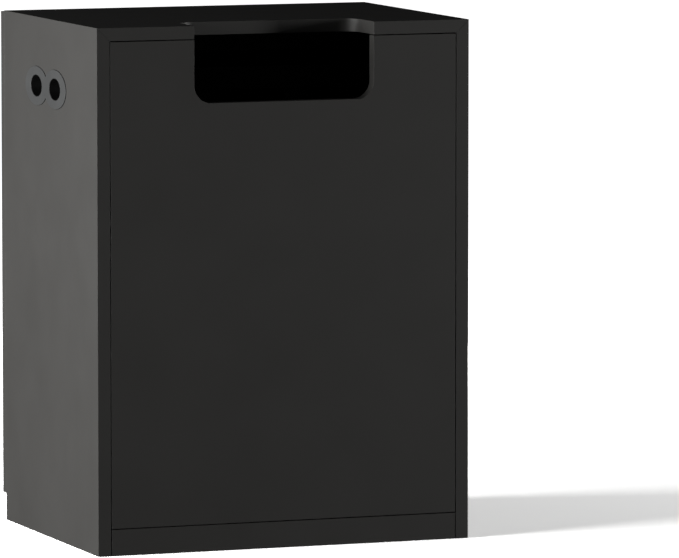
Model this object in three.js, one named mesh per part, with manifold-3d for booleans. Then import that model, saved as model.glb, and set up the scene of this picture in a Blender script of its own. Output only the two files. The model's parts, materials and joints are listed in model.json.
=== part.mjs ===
// Trash compactor: a plain black board cabinet with a pull-out drawer and a twin-screw ram inside.
// Millimetres, +Z up, front facing -Y. Every piece is drawn with x measured from the cabinet's
// middle plane, y measured back from the front face and z measured up from the floor; add() then
// moves it so that the origin is the centre of the footprint.
import * as THREE from "three";
import { mergeVertices } from "three/addons/utils/BufferGeometryUtils.js";
import Module from "manifold-3d";

const wasm = await Module();
wasm.setup();

// Fits
const FIT = 0.3; // gap between pieces that touch or seat in each other
const SEAM = 1.5; // visible gap round the drawer front and the plinth rail
const MITRE_GAP = 0.1; // half of the glue line in the mitred top corners
const ROUND = 24; // sides of a small round piece
const FINE_ROUND = 48; // sides of a large round or oval outline
const CORNER_SIDES = 6; // sides of a quarter round on a small corner
const MOUTH_CORNER_SIDES = 12;
const WELD = 1e-4; // points nearer than this are one point
const PAST = 1; // a cut runs past its surface by this, and joined shapes run into each other

// Cabinet
const WIDTH = 600;
const SIDE_DEPTH = 450;
const HEIGHT = 800;
const BOARD = 20;
const BACK_THICKNESS = 17;
const BACK_LIFT = 42;
const BACK_DROP = 2;
const PLINTH_HEIGHT = 40;

// Mouth: a notch in the drawer front that meets a recess in the top panel
const MOUTH_WIDTH = 290;
const MOUTH_DROP = 117.5;
const MOUTH_RADIUS = 27;
const RECESS_DEPTH = 85;

// Vent ports in the left side
const PORT_LENGTH = 54;
const PORT_HEIGHT = 34;
const PORT_SPACING = 89;
const PORT_BACK = 199; // front port's centre, back from the front face
const PORT_DROP = 106; // ports' centres, down from the top
const SURROUND_RIM = 26; // width of the raised ring along the depth
const SURROUND_RIM_Z = 13; // width of the raised ring up and down
const SURROUND_PROUD = 1.2;
const SURROUND_SINK = 2;
const SLEEVE_WALL = 2;

// Filter behind the ports
const FILTER_MARGIN_Y = 8; // cartridge past the ports, along the depth
const FILTER_MARGIN_Z = 23; // housing past the ports, up and down
const FILTER_THICKNESS = 9;
const FILTER_BOX_STEP = 0.7; // filter housing inside the posts' depth
const FILTER_SLOT_WIDTH = 3.6;
const FILTER_SLOT_PITCH = 12;
const FILTER_SLOT_END = 12; // solid stretch above and below a slot

// Vents in the back panel
const VENT_SLOT_HEIGHT = 3.6;
const VENT_SLOT_LENGTH = 120;
const VENT_SLOT_PITCH = 14;
const VENT_SLOT_COUNT = 8;
const LOW_VENT_Z = 190;
const HIGH_VENT_DROP = 300;

// Press frame
const PLATE = 3;
const SHEET = 1.5;
const POST_SIZE = 30;
const POST_DEPTH = 17.7;
const FRONT_POST_Y = 60;
const REAR_POST_INSET = 100; // rear posts' front edge, from the back panel
const FRAME_HEADROOM = 4;
const CROSSMEMBER_SIZE = 28;
const CROSSMEMBER_WALL = 4;

// Screws and chain drive
const SCREW_RADIUS = 10;
const JOURNAL_STEP = 2;
const BEARING_SIZE = 40;
const LOWER_BEARING_HEIGHT = 7;
const UPPER_BEARING_HEIGHT = 10;
const CHAIN_PITCH = 9.525;
const SCREW_TEETH = 20;
const MOTOR_TEETH = 10;
const CHAIN_WIDTH = 7;
const CHAIN_LIFT = 2; // chain above the lower bearings
const CHAIN_HALF = 4;
const HUB_HEIGHT = 3;

// Ram
const RAM_GAP_X = 15.2; // round the ram inside the container
const RAM_GAP_Y = 19.5;
const RAM_HEIGHT = 25;
const RAM_WALL = 3;
const RAM_PARK_GAP = 7; // between the retainer ring and the parked ram
const RAM_STROKE = 205;
const STROKE_SPARE = 9; // left between the beam and the ring at full stroke
const BEAM_SIDE_GAP = 6; // between the beam's ends and the posts
const BEAM_END_SPARE = 0.5; // beam past the nuts' flanges, across
const BEAM_EDGE_SPARE = 5.5; // beam past the nuts' flanges, along the depth
const BEAM_HEIGHT = 35;
const BEAM_WALL = 4;
const LEG_X = 80;
const LEG_GAP = 1;
const NUT_WALL = 5;
const NUT_FLANGE_STEP = 4.5;
const NUT_FLANGE_HEIGHT = 6;
const NUT_LENGTH = 34;
const NUT_HEADROOM = 7.4; // between the parked nuts and the upper bearings

// Drawer
const CONTAINER_WALL = 2.5;
const CONTAINER_RADIUS = 22;
const CARRIER_BACK_SPARE = 2; // carrier past the container
const CARRIER_LIFT = 14; // carrier above the sprockets' hubs
const CARRIER_FRONT_TOP = 300;
const CARRIER_SIDE_SPARE = 4; // carrier's sides above the slides
const RING_WIDTH = 8;
const RING_HEIGHT = 5;
const RING_OVERHANG = 2;
const STIFFENER_GAP = 4; // between the slides and the stiffeners, across
const STIFFENER_WIDTH = 24;
const STIFFENER_RIB = 22;
const STIFFENER_LIFT = 9; // above the slides
const STIFFENER_DROP = 12; // below the mouth

// Telescopic slides
const SLIDE_LIFT = 19; // above the carrier's underside
const SLIDE_HEIGHT = 46;
const SLIDE_WIDTH = 12;
const SLIDE_CLEARANCE = 1.5;
const SLIDE_SIDE_GAP = 8; // between the slides and the screws
const SLIDE_END_GAP = 29.4; // between the slides and the back panel
const MIDDLE_SLIDE_SHORT = 4;
const SLIDE_FOOT = 40;
const SLIDE_FOOT_REACH = 16;

// Motor and electrics
const MOTOR_RADIUS = 42;
const MOTOR_BACK_GAP = 8;
const MOTOR_FRONT_GAP = 8.4;
const MOTOR_LENGTH = 131;
const MOTOR_CAP = 22;
const MOTOR_BARREL_STEP = 2;
const MOTOR_NOSE = { radius: 12, height: 8 };
const GEARBOX_HEIGHT = 38;
const GEARBOX_STEP = 2; // gearbox inside the motor's outline
const GEARBOX_RADIUS = 10;
const BRACKET_THICKNESS = 4;
const BRACKET_LIFT = 1; // bracket above the sprocket's hub
const BRACKET_HOLE_STEP = 2; // shaft hole past the shaft
const BRACKET_SIDE = 8; // bracket past the motor on each side
const SHAFT_RADIUS = 6;
const SHAFT_IN_GEARBOX = 14;
const SHAFT_END_GAP = 1;
const SENSOR_RADIUS = 4;
const SENSOR_GAP = 3; // between a sensor and the beam's end
const CONTROL_BOX = { x: 160, width: 130, depth: 55, bottom: 300, height: 180 };
const INLET = { x: 160, z: 130, width: 30, height: 23, lug: 10, lip: 2, depth: 22, wall: 2 };
const INLET_FLOOR = 3;
const LEAD_RADIUS = 3;
const LEAD_SIDES = 8;
const LEAD_TAIL = 12; // straight stretch where a lead leaves its box
const LEAD_INSET = 12; // lead's hole from the console's outer end
const LEAD_CLEARANCE = 2;
const LEAD_STEPS = 7; // per stretch between two points
const LEAD_TENSION = 0.3;
const LEAD_GAP = 4; // between a lead and what it is clipped to
const MOTOR_LEAD_SHARE = 0.6; // motor lead's place on the motor's radius

// Control console, under the top panel beside the mouth
const CONSOLE_GAP = 7; // from the mouth's edge to the console's face
const CONSOLE_END_GAP = 12; // from the console to the posts
const CONSOLE_FRONT_GAP = 4; // from the drawer front to the console
const CONSOLE_MARGIN = 6;
const CONSOLE_HEIGHT = 44;
const CONSOLE_WALL = 2.5;
const BUTTON_RADIUS = 7.5;
const BUTTON_PROUD = 4;
const BUTTON_GAP = 2.2; // between two button holes
const BUTTON_LENGTH = 12;
const BUTTON_CLEARANCE = 0.4;
const KEYWAY = { width: 2.4, depth: 3, end: 3 };

// Places worked out from the sizes above, across
const HALF = WIDTH / 2;
const INNER = HALF - BOARD;
const FRAME_OUTER = INNER - FIT;
const FRAME_INNER = FRAME_OUTER - POST_DEPTH;
const JOURNAL_RADIUS = SCREW_RADIUS - JOURNAL_STEP;
const NUT_RADIUS = SCREW_RADIUS + NUT_WALL;
const NUT_FLANGE = NUT_RADIUS + NUT_FLANGE_STEP;
const BEAM_END = NUT_FLANGE + BEAM_END_SPARE; // beam past the screw axis
const SCREW_X = FRAME_INNER - BEAM_SIDE_GAP - BEAM_END;
const CARRIER_HALF = SCREW_X - SCREW_RADIUS - SLIDE_SIDE_GAP - SLIDE_WIDTH;
const CONTAINER_HALF = CARRIER_HALF - PLATE - FIT;
const STIFFENER_X = CARRIER_HALF + SLIDE_WIDTH + STIFFENER_GAP;
const RAM_HALF = CONTAINER_HALF - CONTAINER_WALL - RAM_GAP_X;
const FILTER_BOX_DEPTH = POST_DEPTH - FILTER_BOX_STEP;
const CONSOLE_FACE = -(MOUTH_WIDTH / 2 + CONSOLE_GAP);
const CONSOLE_END = -(FRAME_INNER - CONSOLE_END_GAP);

// Back from the front face
const REAR_POST_Y = SIDE_DEPTH - REAR_POST_INSET;
const MOTOR_Y = SIDE_DEPTH - MOTOR_BACK_GAP - MOTOR_RADIUS;
const CARRIER_FRONT = BOARD + FIT;
const CONTAINER_FRONT = CARRIER_FRONT + PLATE + FIT;
const CONTAINER_BACK = MOTOR_Y - MOTOR_RADIUS - MOTOR_FRONT_GAP;
const CARRIER_BACK = CONTAINER_BACK + CARRIER_BACK_SPARE;
const SCREW_Y = (CONTAINER_FRONT + CONTAINER_BACK) / 2;
const RAM_FRONT = CONTAINER_FRONT + CONTAINER_WALL + RAM_GAP_Y;
const RAM_BACK = CONTAINER_BACK - CONTAINER_WALL - RAM_GAP_Y;
const BEAM_WIDTH = 2 * (NUT_FLANGE + BEAM_EDGE_SPARE);
const LEG_SIZE = BEAM_WIDTH - 2 * BEAM_WALL - 2 * LEG_GAP;
const SLIDE_FRONT = CARRIER_FRONT + FIT;
const SLIDE_BACK = SIDE_DEPTH - SLIDE_END_GAP;
const BUTTON_PITCH = 2 * (BUTTON_RADIUS + BUTTON_CLEARANCE) + BUTTON_GAP;
const CONSOLE_FRONT = BOARD + CONSOLE_FRONT_GAP;
const CONSOLE_DEPTH = 3 * BUTTON_PITCH + 2 * CONSOLE_MARGIN;
const CONSOLE_BACK = CONSOLE_FRONT + CONSOLE_DEPTH;

// Up from the floor
const TOP_UNDERSIDE = HEIGHT - BOARD;
const MOUTH_BOTTOM = HEIGHT - MOUTH_DROP;
const PORT_Z = HEIGHT - PORT_DROP;
const FLOOR_Z = PLINTH_HEIGHT; // top of the bottom panel
const BASE_Z = FLOOR_Z + PLATE; // top of the steel base plate
const BEARING_TOP = BASE_Z + LOWER_BEARING_HEIGHT;
const CHAIN_Z = BEARING_TOP + CHAIN_LIFT;
const HUB_TOP = CHAIN_Z + CHAIN_WIDTH + HUB_HEIGHT;
const BRACKET_Z = HUB_TOP + BRACKET_LIFT;
const BRACKET_TOP = BRACKET_Z + BRACKET_THICKNESS;
const GEARBOX_Z = BRACKET_TOP + FIT;
const MOTOR_Z = GEARBOX_Z + GEARBOX_HEIGHT + FIT;
const MOTOR_TOP = MOTOR_Z + MOTOR_LENGTH;
const CARRIER_Z = HUB_TOP + CARRIER_LIFT;
const SLIDE_Z = CARRIER_Z + SLIDE_LIFT;
const CARRIER_SIDE_TOP = SLIDE_Z + SLIDE_HEIGHT + CARRIER_SIDE_SPARE;
const CROSSMEMBER_Z = TOP_UNDERSIDE - FRAME_HEADROOM - CROSSMEMBER_SIZE;
const FRAME_TOP = CROSSMEMBER_Z - PLATE;
const SCREW_TOP = CROSSMEMBER_Z - UPPER_BEARING_HEIGHT;
const BEAM_TOP = SCREW_TOP - NUT_HEADROOM - NUT_FLANGE_HEIGHT - FIT;
const BEAM_Z = BEAM_TOP - BEAM_HEIGHT;
const RING_TOP = BEAM_Z - STROKE_SPARE - RAM_STROKE;
const CONTAINER_TOP = RING_TOP - RING_HEIGHT - FIT;
const RAM_Z = RING_TOP + RAM_PARK_GAP;
const CONTROL_Z = TOP_UNDERSIDE - FIT - CONSOLE_HEIGHT / 2;

const SIDES = { left: -1, right: 1 };

// Finishes
const FINISH = {
  board: { color: 0x151514, roughness: 0.62, metalness: 0 },
  trim: { color: 0x1b1b1a, roughness: 0.55, metalness: 0 },
  frame: { color: 0x3a3c3f, roughness: 0.5, metalness: 0.6 },
  zinc: { color: 0x9a9c9e, roughness: 0.38, metalness: 0.9 },
  steel: { color: 0x7d7f82, roughness: 0.32, metalness: 1 },
  bronze: { color: 0x8a6a3c, roughness: 0.4, metalness: 1 },
  plastic: { color: 0x202124, roughness: 0.5, metalness: 0 },
  bin: { color: 0x2b2d30, roughness: 0.55, metalness: 0 },
  charcoal: { color: 0x101010, roughness: 0.95, metalness: 0 },
  red: { color: 0x8c1a16, roughness: 0.45, metalness: 0 },
  green: { color: 0x1f6b39, roughness: 0.45, metalness: 0 },
};

const compactor = new THREE.Group();
compactor.name = "trash_compactor";

function add(name, geometry, finish) {
  const mesh = new THREE.Mesh(geometry, new THREE.MeshStandardMaterial(FINISH[finish]));
  mesh.name = name;
  mesh.position.set(SURROUND_PROUD / 2, -(SIDE_DEPTH + BACK_THICKNESS) / 2, 0);
  compactor.add(mesh);
}

// ---- Shapes ----

const vector = (x, y, z) => new THREE.Vector3(x, y, z);

// Turns, stretches and moves a geometry in one step, so that equal sizes give equal coordinates.
function placed(geometry, xAxis, yAxis, zAxis, origin) {
  return geometry.applyMatrix4(
    new THREE.Matrix4().makeBasis(xAxis, yAxis, zAxis).setPosition(origin),
  );
}

function box(xLow, xHigh, yLow, yHigh, zLow, zHigh) {
  return placed(
    new THREE.BoxGeometry(1, 1, 1).translate(0.5, 0.5, 0.5),
    vector(xHigh - xLow, 0, 0),
    vector(0, yHigh - yLow, 0),
    vector(0, 0, zHigh - zLow),
    vector(xLow, yLow, zLow),
  );
}

// A box given on the right-hand side, or mirrored to the left with side -1.
function sideBox(side, xLow, xHigh, yLow, yHigh, zLow, zHigh) {
  return side > 0
    ? box(xLow, xHigh, yLow, yHigh, zLow, zHigh)
    : box(-xHigh, -xLow, yLow, yHigh, zLow, zHigh);
}

function polygon(points) {
  return new THREE.Shape(points.map(([u, v]) => new THREE.Vector2(u, v)));
}

function unitExtrusion(shape, curveSegments) {
  return new THREE.ExtrudeGeometry(shape, { depth: 1, bevelEnabled: false, curveSegments });
}

// The shape's x and y become the cabinet's y and z, and it runs from xLow to xHigh.
function extrudeAlongX(shape, xLow, xHigh, curveSegments = ROUND) {
  return placed(
    unitExtrusion(shape, curveSegments),
    vector(0, 1, 0),
    vector(0, 0, 1),
    vector(xHigh - xLow, 0, 0),
    vector(xLow, 0, 0),
  );
}

// The shape's x and y become the cabinet's x and z, and it runs from yLow to yHigh.
function extrudeAlongY(shape, yLow, yHigh, curveSegments = ROUND) {
  return placed(
    unitExtrusion(shape, curveSegments),
    vector(1, 0, 0),
    vector(0, 0, 1),
    vector(0, yLow - yHigh, 0),
    vector(0, yHigh, 0),
  );
}

function extrudeAlongZ(shape, zLow, zHigh, curveSegments = ROUND) {
  return placed(
    unitExtrusion(shape, curveSegments),
    vector(1, 0, 0),
    vector(0, 1, 0),
    vector(0, 0, zHigh - zLow),
    vector(0, 0, zLow),
  );
}

// An upright cylinder.
function post(x, y, radius, zLow, zHigh, sides = ROUND) {
  return placed(
    new THREE.CylinderGeometry(radius, radius, 1, sides).translate(0, 0.5, 0),
    vector(1, 0, 0),
    vector(0, 0, zHigh - zLow),
    vector(0, -1, 0),
    vector(x, y, zLow),
  );
}

// A cylinder lying along x.
function crossRod(y, z, radius, xLow, xHigh, sides = ROUND) {
  return placed(
    new THREE.CylinderGeometry(radius, radius, 1, sides).translate(0, 0.5, 0),
    vector(0, -1, 0),
    vector(xHigh - xLow, 0, 0),
    vector(0, 0, 1),
    vector(xLow, y, z),
  );
}

function roundedRectangle(uLow, uHigh, vLow, vHigh, radius) {
  const shape = new THREE.Shape();
  shape.absarc(uHigh - radius, vLow + radius, radius, -Math.PI / 2, 0, false);
  shape.absarc(uHigh - radius, vHigh - radius, radius, 0, Math.PI / 2, false);
  shape.absarc(uLow + radius, vHigh - radius, radius, Math.PI / 2, Math.PI, false);
  shape.absarc(uLow + radius, vLow + radius, radius, Math.PI, 1.5 * Math.PI, false);
  shape.closePath();
  return shape;
}

function oval(u, v, length, height) {
  const shape = new THREE.Shape();
  shape.absellipse(u, v, length / 2, height / 2, 0, 2 * Math.PI, false, 0);
  return shape;
}

// ---- Solids ----

function solid(geometry) {
  const plain = geometry.clone();
  plain.deleteAttribute("normal");
  plain.deleteAttribute("uv");
  const merged = mergeVertices(plain, WELD);
  return new wasm.Manifold(
    new wasm.Mesh({
      numProp: 3,
      vertProperties: merged.attributes.position.array,
      triVerts: new Uint32Array(merged.index.array),
    }),
  );
}

function geometryOf(manifold) {
  const mesh = manifold.getMesh();
  const geometry = new THREE.BufferGeometry();
  geometry.setAttribute("position", new THREE.BufferAttribute(mesh.vertProperties, 3));
  geometry.setIndex(new THREE.BufferAttribute(mesh.triVerts, 1));
  geometry.computeVertexNormals();
  return geometry;
}

function join(...geometries) {
  return geometryOf(geometries.map(solid).reduce((sum, next) => sum.add(next)));
}

function cut(geometry, ...tools) {
  return geometryOf(tools.map(solid).reduce((rest, tool) => rest.subtract(tool), solid(geometry)));
}

// A right-hand piece as its left-hand twin, with its faces turned to point outwards again.
function mirrored(geometry) {
  const twin = (geometry.index ? geometry.toNonIndexed() : geometry).scale(-1, 1, 1);
  const position = twin.getAttribute("position");
  const corner = vector(0, 0, 0);
  const other = vector(0, 0, 0);
  for (let n = 0; n < position.count; n += 3) {
    corner.fromBufferAttribute(position, n + 1);
    other.fromBufferAttribute(position, n + 2);
    position.setXYZ(n + 1, other.x, other.y, other.z);
    position.setXYZ(n + 2, corner.x, corner.y, corner.z);
  }
  twin.computeVertexNormals();
  return twin;
}

// ---- Cabinet ----

// The two ports' ovals, grown all round by a margin along the depth and one up and down.
const portOvals = (growY, growZ = growY) =>
  [0, 1].map((n) =>
    oval(
      PORT_BACK + n * PORT_SPACING,
      PORT_Z,
      PORT_LENGTH + 2 * growY,
      PORT_HEIGHT + 2 * growZ,
    ),
  );

const alongX = (shapes, xLow, xHigh) =>
  shapes.map((shape) => extrudeAlongX(shape, xLow, xHigh, FINE_ROUND / 2));

function sidePanel(side) {
  const outline = polygon([
    [INNER, 0],
    [HALF, 0],
    [HALF, HEIGHT - MITRE_GAP],
    [INNER, TOP_UNDERSIDE - MITRE_GAP],
  ]);
  const panel = extrudeAlongY(outline, 0, SIDE_DEPTH);
  return side > 0 ? panel : mirrored(panel);
}

function leftSidePanel() {
  const rebate = alongX(
    portOvals(SURROUND_RIM + FIT, SURROUND_RIM_Z + FIT),
    -HALF - PAST,
    -HALF + SURROUND_SINK + FIT,
  );
  const holes = alongX(portOvals(SLEEVE_WALL + FIT), -HALF, -INNER + PAST);
  return cut(sidePanel(SIDES.left), ...rebate, ...holes);
}

function topPanel() {
  const outline = polygon([
    [-INNER - MITRE_GAP, TOP_UNDERSIDE],
    [INNER + MITRE_GAP, TOP_UNDERSIDE],
    [HALF - MITRE_GAP, HEIGHT],
    [-HALF + MITRE_GAP, HEIGHT],
  ]);
  const half = MOUTH_WIDTH / 2;
  const recess = roundedRectangle(-half, half, -RECESS_DEPTH, RECESS_DEPTH, MOUTH_RADIUS);
  return cut(
    extrudeAlongY(outline, 0, SIDE_DEPTH),
    extrudeAlongZ(recess, TOP_UNDERSIDE - PAST, HEIGHT + PAST, MOUTH_CORNER_SIDES),
  );
}

function backPanel() {
  const panel = box(
    -HALF,
    HALF,
    SIDE_DEPTH + FIT,
    SIDE_DEPTH + BACK_THICKNESS,
    BACK_LIFT,
    HEIGHT - BACK_DROP,
  );
  const cuts = [];
  const slotHalf = VENT_SLOT_LENGTH / 2;
  const outside = SIDE_DEPTH + BACK_THICKNESS + PAST;
  for (const firstZ of [LOW_VENT_Z, HEIGHT - HIGH_VENT_DROP]) {
    for (let n = 0; n < VENT_SLOT_COUNT; n += 1) {
      const z = firstZ + n * VENT_SLOT_PITCH;
      cuts.push(box(-slotHalf, slotHalf, SIDE_DEPTH, outside, z, z + VENT_SLOT_HEIGHT));
    }
  }
  cuts.push(
    box(
      INLET.x - INLET.width / 2 - FIT,
      INLET.x + INLET.width / 2 + FIT,
      SIDE_DEPTH,
      outside,
      INLET.z - INLET.height / 2 - FIT,
      INLET.z + INLET.height / 2 + FIT,
    ),
  );
  return cut(panel, ...cuts);
}

function portSurround() {
  const front = -HALF - SURROUND_PROUD;
  const flange = alongX(portOvals(SURROUND_RIM, SURROUND_RIM_Z), front, -HALF + SURROUND_SINK);
  const sleeves = alongX(portOvals(SLEEVE_WALL), front, -INNER);
  const holes = alongX(portOvals(0), front - PAST, -INNER + PAST);
  return cut(join(...flange, ...sleeves), ...holes);
}

// A block behind both ports that reaches past them by a margin along the depth and one up and down.
function filterBlock(xLow, xHigh, marginY, marginZ) {
  const middle = PORT_BACK + PORT_SPACING / 2;
  const halfY = PORT_SPACING / 2 + PORT_LENGTH / 2 + marginY;
  const halfZ = PORT_HEIGHT / 2 + marginZ;
  return box(xLow, xHigh, middle - halfY, middle + halfY, PORT_Z - halfZ, PORT_Z + halfZ);
}

function filterHousing() {
  const inner = -FRAME_OUTER + FILTER_BOX_DEPTH;
  const outer = filterBlock(-FRAME_OUTER, inner, FILTER_MARGIN_Y + SHEET, FILTER_MARGIN_Z);
  const hollow = filterBlock(
    -FRAME_OUTER - PAST,
    inner - SHEET,
    FILTER_MARGIN_Y,
    FILTER_MARGIN_Z - SHEET,
  );
  const slots = [];
  const slotHalf = PORT_HEIGHT / 2 + FILTER_MARGIN_Z - FILTER_SLOT_END;
  const yLast = PORT_BACK + PORT_SPACING + PORT_LENGTH / 2;
  for (let y = PORT_BACK - PORT_LENGTH / 2; y <= yLast; y += FILTER_SLOT_PITCH) {
    slots.push(
      box(
        -FRAME_OUTER + PAST,
        inner + PAST,
        y,
        y + FILTER_SLOT_WIDTH,
        PORT_Z - slotHalf,
        PORT_Z + slotHalf,
      ),
    );
  }
  return cut(outer, hollow, ...slots);
}

function filterCartridge() {
  const inner = -FRAME_OUTER + FILTER_BOX_DEPTH - SHEET - FIT;
  return filterBlock(
    inner - FILTER_THICKNESS,
    inner,
    FILTER_MARGIN_Y - FIT,
    FILTER_MARGIN_Z - SHEET - FIT,
  );
}

function buildCabinet() {
  add("left_side_panel", leftSidePanel(), "board");
  add("right_side_panel", sidePanel(SIDES.right), "board");
  add("top_panel", topPanel(), "board");
  const bottom = FLOOR_Z - BOARD;
  add("bottom_panel", box(-INNER + FIT, INNER - FIT, BOARD, SIDE_DEPTH, bottom, FLOOR_Z), "board");
  const rail = INNER - SEAM;
  add("front_plinth_rail", box(-rail, rail, 0, BOARD - FIT, 0, PLINTH_HEIGHT), "board");
  add(
    "rear_plinth_rail",
    box(-INNER + FIT, INNER - FIT, SIDE_DEPTH - BOARD, SIDE_DEPTH, 0, bottom - FIT),
    "board",
  );
  add("back_panel", backPanel(), "board");
  add("port_surround", portSurround(), "trim");
  add("filter_housing", filterHousing(), "plastic");
  add("filter_cartridge", filterCartridge(), "charcoal");
}

// ---- Press frame ----

// A post is a channel standing against the side panel, open towards the middle.
function framePost(side, y) {
  const outer = sideBox(side, FRAME_INNER, FRAME_OUTER, y, y + POST_SIZE, BASE_Z + FIT, FRAME_TOP - FIT);
  const hollow = sideBox(
    side,
    FRAME_INNER - PAST,
    FRAME_OUTER - PLATE,
    y + PLATE,
    y + POST_SIZE - PLATE,
    FLOOR_Z,
    HEIGHT,
  );
  return cut(outer, hollow);
}

// A top rail is an angle on the two posts of one side, with its upright leg on the side panel.
function topRail(side) {
  const back = REAR_POST_Y + POST_SIZE;
  const flat = sideBox(
    side,
    FRAME_INNER,
    FRAME_OUTER,
    FRONT_POST_Y,
    back,
    FRAME_TOP,
    CROSSMEMBER_Z - FIT,
  );
  const upright = sideBox(
    side,
    FRAME_OUTER - PLATE,
    FRAME_OUTER,
    FRONT_POST_Y,
    back,
    FRAME_TOP,
    CROSSMEMBER_Z + CROSSMEMBER_SIZE,
  );
  return join(flat, upright);
}

function crossmember() {
  const front = SCREW_Y - BEARING_SIZE / 2;
  const back = SCREW_Y + BEARING_SIZE / 2;
  const top = CROSSMEMBER_Z + CROSSMEMBER_SIZE;
  const outline = polygon([
    [front, CROSSMEMBER_Z],
    [back, CROSSMEMBER_Z],
    [back, CROSSMEMBER_Z + CROSSMEMBER_WALL],
    [front + CROSSMEMBER_WALL, CROSSMEMBER_Z + CROSSMEMBER_WALL],
    [front + CROSSMEMBER_WALL, top - CROSSMEMBER_WALL],
    [back, top - CROSSMEMBER_WALL],
    [back, top],
    [front, top],
  ]);
  const half = FRAME_OUTER - PLATE - FIT;
  return extrudeAlongX(outline, -half, half);
}

function bearing(side, zLow, zHigh) {
  const half = BEARING_SIZE / 2;
  const x = side * SCREW_X;
  return cut(
    box(x - half, x + half, SCREW_Y - half, SCREW_Y + half, zLow, zHigh),
    post(x, SCREW_Y, JOURNAL_RADIUS + FIT, zLow - PAST, zHigh + PAST),
  );
}

function buildFrame() {
  add(
    "base_plate",
    box(
      -FRAME_OUTER,
      FRAME_OUTER,
      CARRIER_FRONT + PLATE,
      SIDE_DEPTH - PLATE,
      FLOOR_Z + FIT,
      BASE_Z,
    ),
    "frame",
  );
  for (const [name, side] of Object.entries(SIDES)) {
    add(`${name}_front_post`, framePost(side, FRONT_POST_Y), "frame");
    add(`${name}_rear_post`, framePost(side, REAR_POST_Y), "frame");
    add(`${name}_top_rail`, topRail(side), "frame");
    add(`${name}_lower_bearing`, bearing(side, BASE_Z + FIT, BEARING_TOP), "zinc");
    add(`${name}_upper_bearing`, bearing(side, SCREW_TOP, CROSSMEMBER_Z - FIT), "zinc");
  }
  add("top_crossmember", crossmember(), "frame");
}

// ---- Screws and chain drive ----

const pitchRadius = (teeth) => CHAIN_PITCH / (2 * Math.sin(Math.PI / teeth));

function powerScrew(side) {
  const x = side * SCREW_X;
  return join(
    post(x, SCREW_Y, JOURNAL_RADIUS, BASE_Z + FIT, BEARING_TOP + FIT + PAST),
    post(x, SCREW_Y, SCREW_RADIUS, BEARING_TOP + FIT, SCREW_TOP - FIT),
    post(x, SCREW_Y, JOURNAL_RADIUS, SCREW_TOP - FIT - PAST, CROSSMEMBER_Z - FIT),
  );
}

// A sprocket's disc stays inside the chain's rollers; its hub carries it on the shaft.
function sprocket(x, y, teeth, shaftRadius) {
  const rim = pitchRadius(teeth) - CHAIN_HALF - FIT;
  const hub = (shaftRadius + rim) / 2;
  const sides = teeth * 2;
  return cut(
    join(
      post(x, y, rim, CHAIN_Z, CHAIN_Z + CHAIN_WIDTH, sides),
      post(x, y, hub, CHAIN_Z, HUB_TOP),
    ),
    post(x, y, shaftRadius + FIT, CHAIN_Z - PAST, HUB_TOP + PAST),
  );
}

// The loop round the sprockets, taken anticlockwise, at a distance from the chain's pitch line.
function chainOutline(wheels, offset) {
  const tangentAngle = (from, to) => {
    const gap = Math.hypot(to.x - from.x, to.y - from.y);
    const heading = Math.atan2(to.y - from.y, to.x - from.x);
    return heading - Math.acos((from.radius - to.radius) / gap);
  };
  const shape = new THREE.Shape();
  wheels.forEach((wheel, n) => {
    const before = wheels[(n + wheels.length - 1) % wheels.length];
    const after = wheels[(n + 1) % wheels.length];
    shape.absarc(
      wheel.x,
      wheel.y,
      wheel.radius + offset,
      tangentAngle(before, wheel),
      tangentAngle(wheel, after),
      false,
    );
  });
  shape.closePath();
  return shape;
}

function driveChain() {
  const wheels = [
    { x: -SCREW_X, y: SCREW_Y, radius: pitchRadius(SCREW_TEETH) },
    { x: SCREW_X, y: SCREW_Y, radius: pitchRadius(SCREW_TEETH) },
    { x: 0, y: MOTOR_Y, radius: pitchRadius(MOTOR_TEETH) },
  ];
  const loop = chainOutline(wheels, CHAIN_HALF);
  loop.holes.push(chainOutline(wheels, -CHAIN_HALF));
  return extrudeAlongZ(loop, CHAIN_Z + FIT, CHAIN_Z + CHAIN_WIDTH - FIT, ROUND);
}

function motorBracket() {
  const half = MOTOR_RADIUS + BRACKET_SIDE;
  const front = MOTOR_Y - MOTOR_RADIUS;
  const back = MOTOR_Y + MOTOR_RADIUS;
  return cut(
    box(-half, half, front, back, BASE_Z + FIT, BRACKET_TOP),
    box(-half - PAST, half + PAST, front + PLATE, back - PLATE, BASE_Z, BRACKET_Z),
    post(0, MOTOR_Y, SHAFT_RADIUS + BRACKET_HOLE_STEP, BRACKET_Z - PAST, BRACKET_TOP + PAST),
  );
}

function gearbox() {
  const half = MOTOR_RADIUS - GEARBOX_STEP;
  const outline = roundedRectangle(-half, half, MOTOR_Y - half, MOTOR_Y + half, GEARBOX_RADIUS);
  return cut(
    extrudeAlongZ(outline, GEARBOX_Z, GEARBOX_Z + GEARBOX_HEIGHT, CORNER_SIDES),
    post(0, MOTOR_Y, SHAFT_RADIUS + FIT, GEARBOX_Z - PAST, GEARBOX_Z + SHAFT_IN_GEARBOX),
  );
}

function motorBody() {
  const barrel = MOTOR_RADIUS - MOTOR_BARREL_STEP;
  const noseTop = MOTOR_TOP + MOTOR_NOSE.height;
  return join(
    post(0, MOTOR_Y, barrel, MOTOR_Z + PAST, MOTOR_TOP - PAST, FINE_ROUND),
    post(0, MOTOR_Y, MOTOR_RADIUS, MOTOR_Z, MOTOR_Z + MOTOR_CAP, FINE_ROUND),
    post(0, MOTOR_Y, MOTOR_RADIUS, MOTOR_TOP - MOTOR_CAP, MOTOR_TOP, FINE_ROUND),
    post(0, MOTOR_Y, MOTOR_NOSE.radius, MOTOR_TOP - PAST, noseTop),
  );
}

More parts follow.
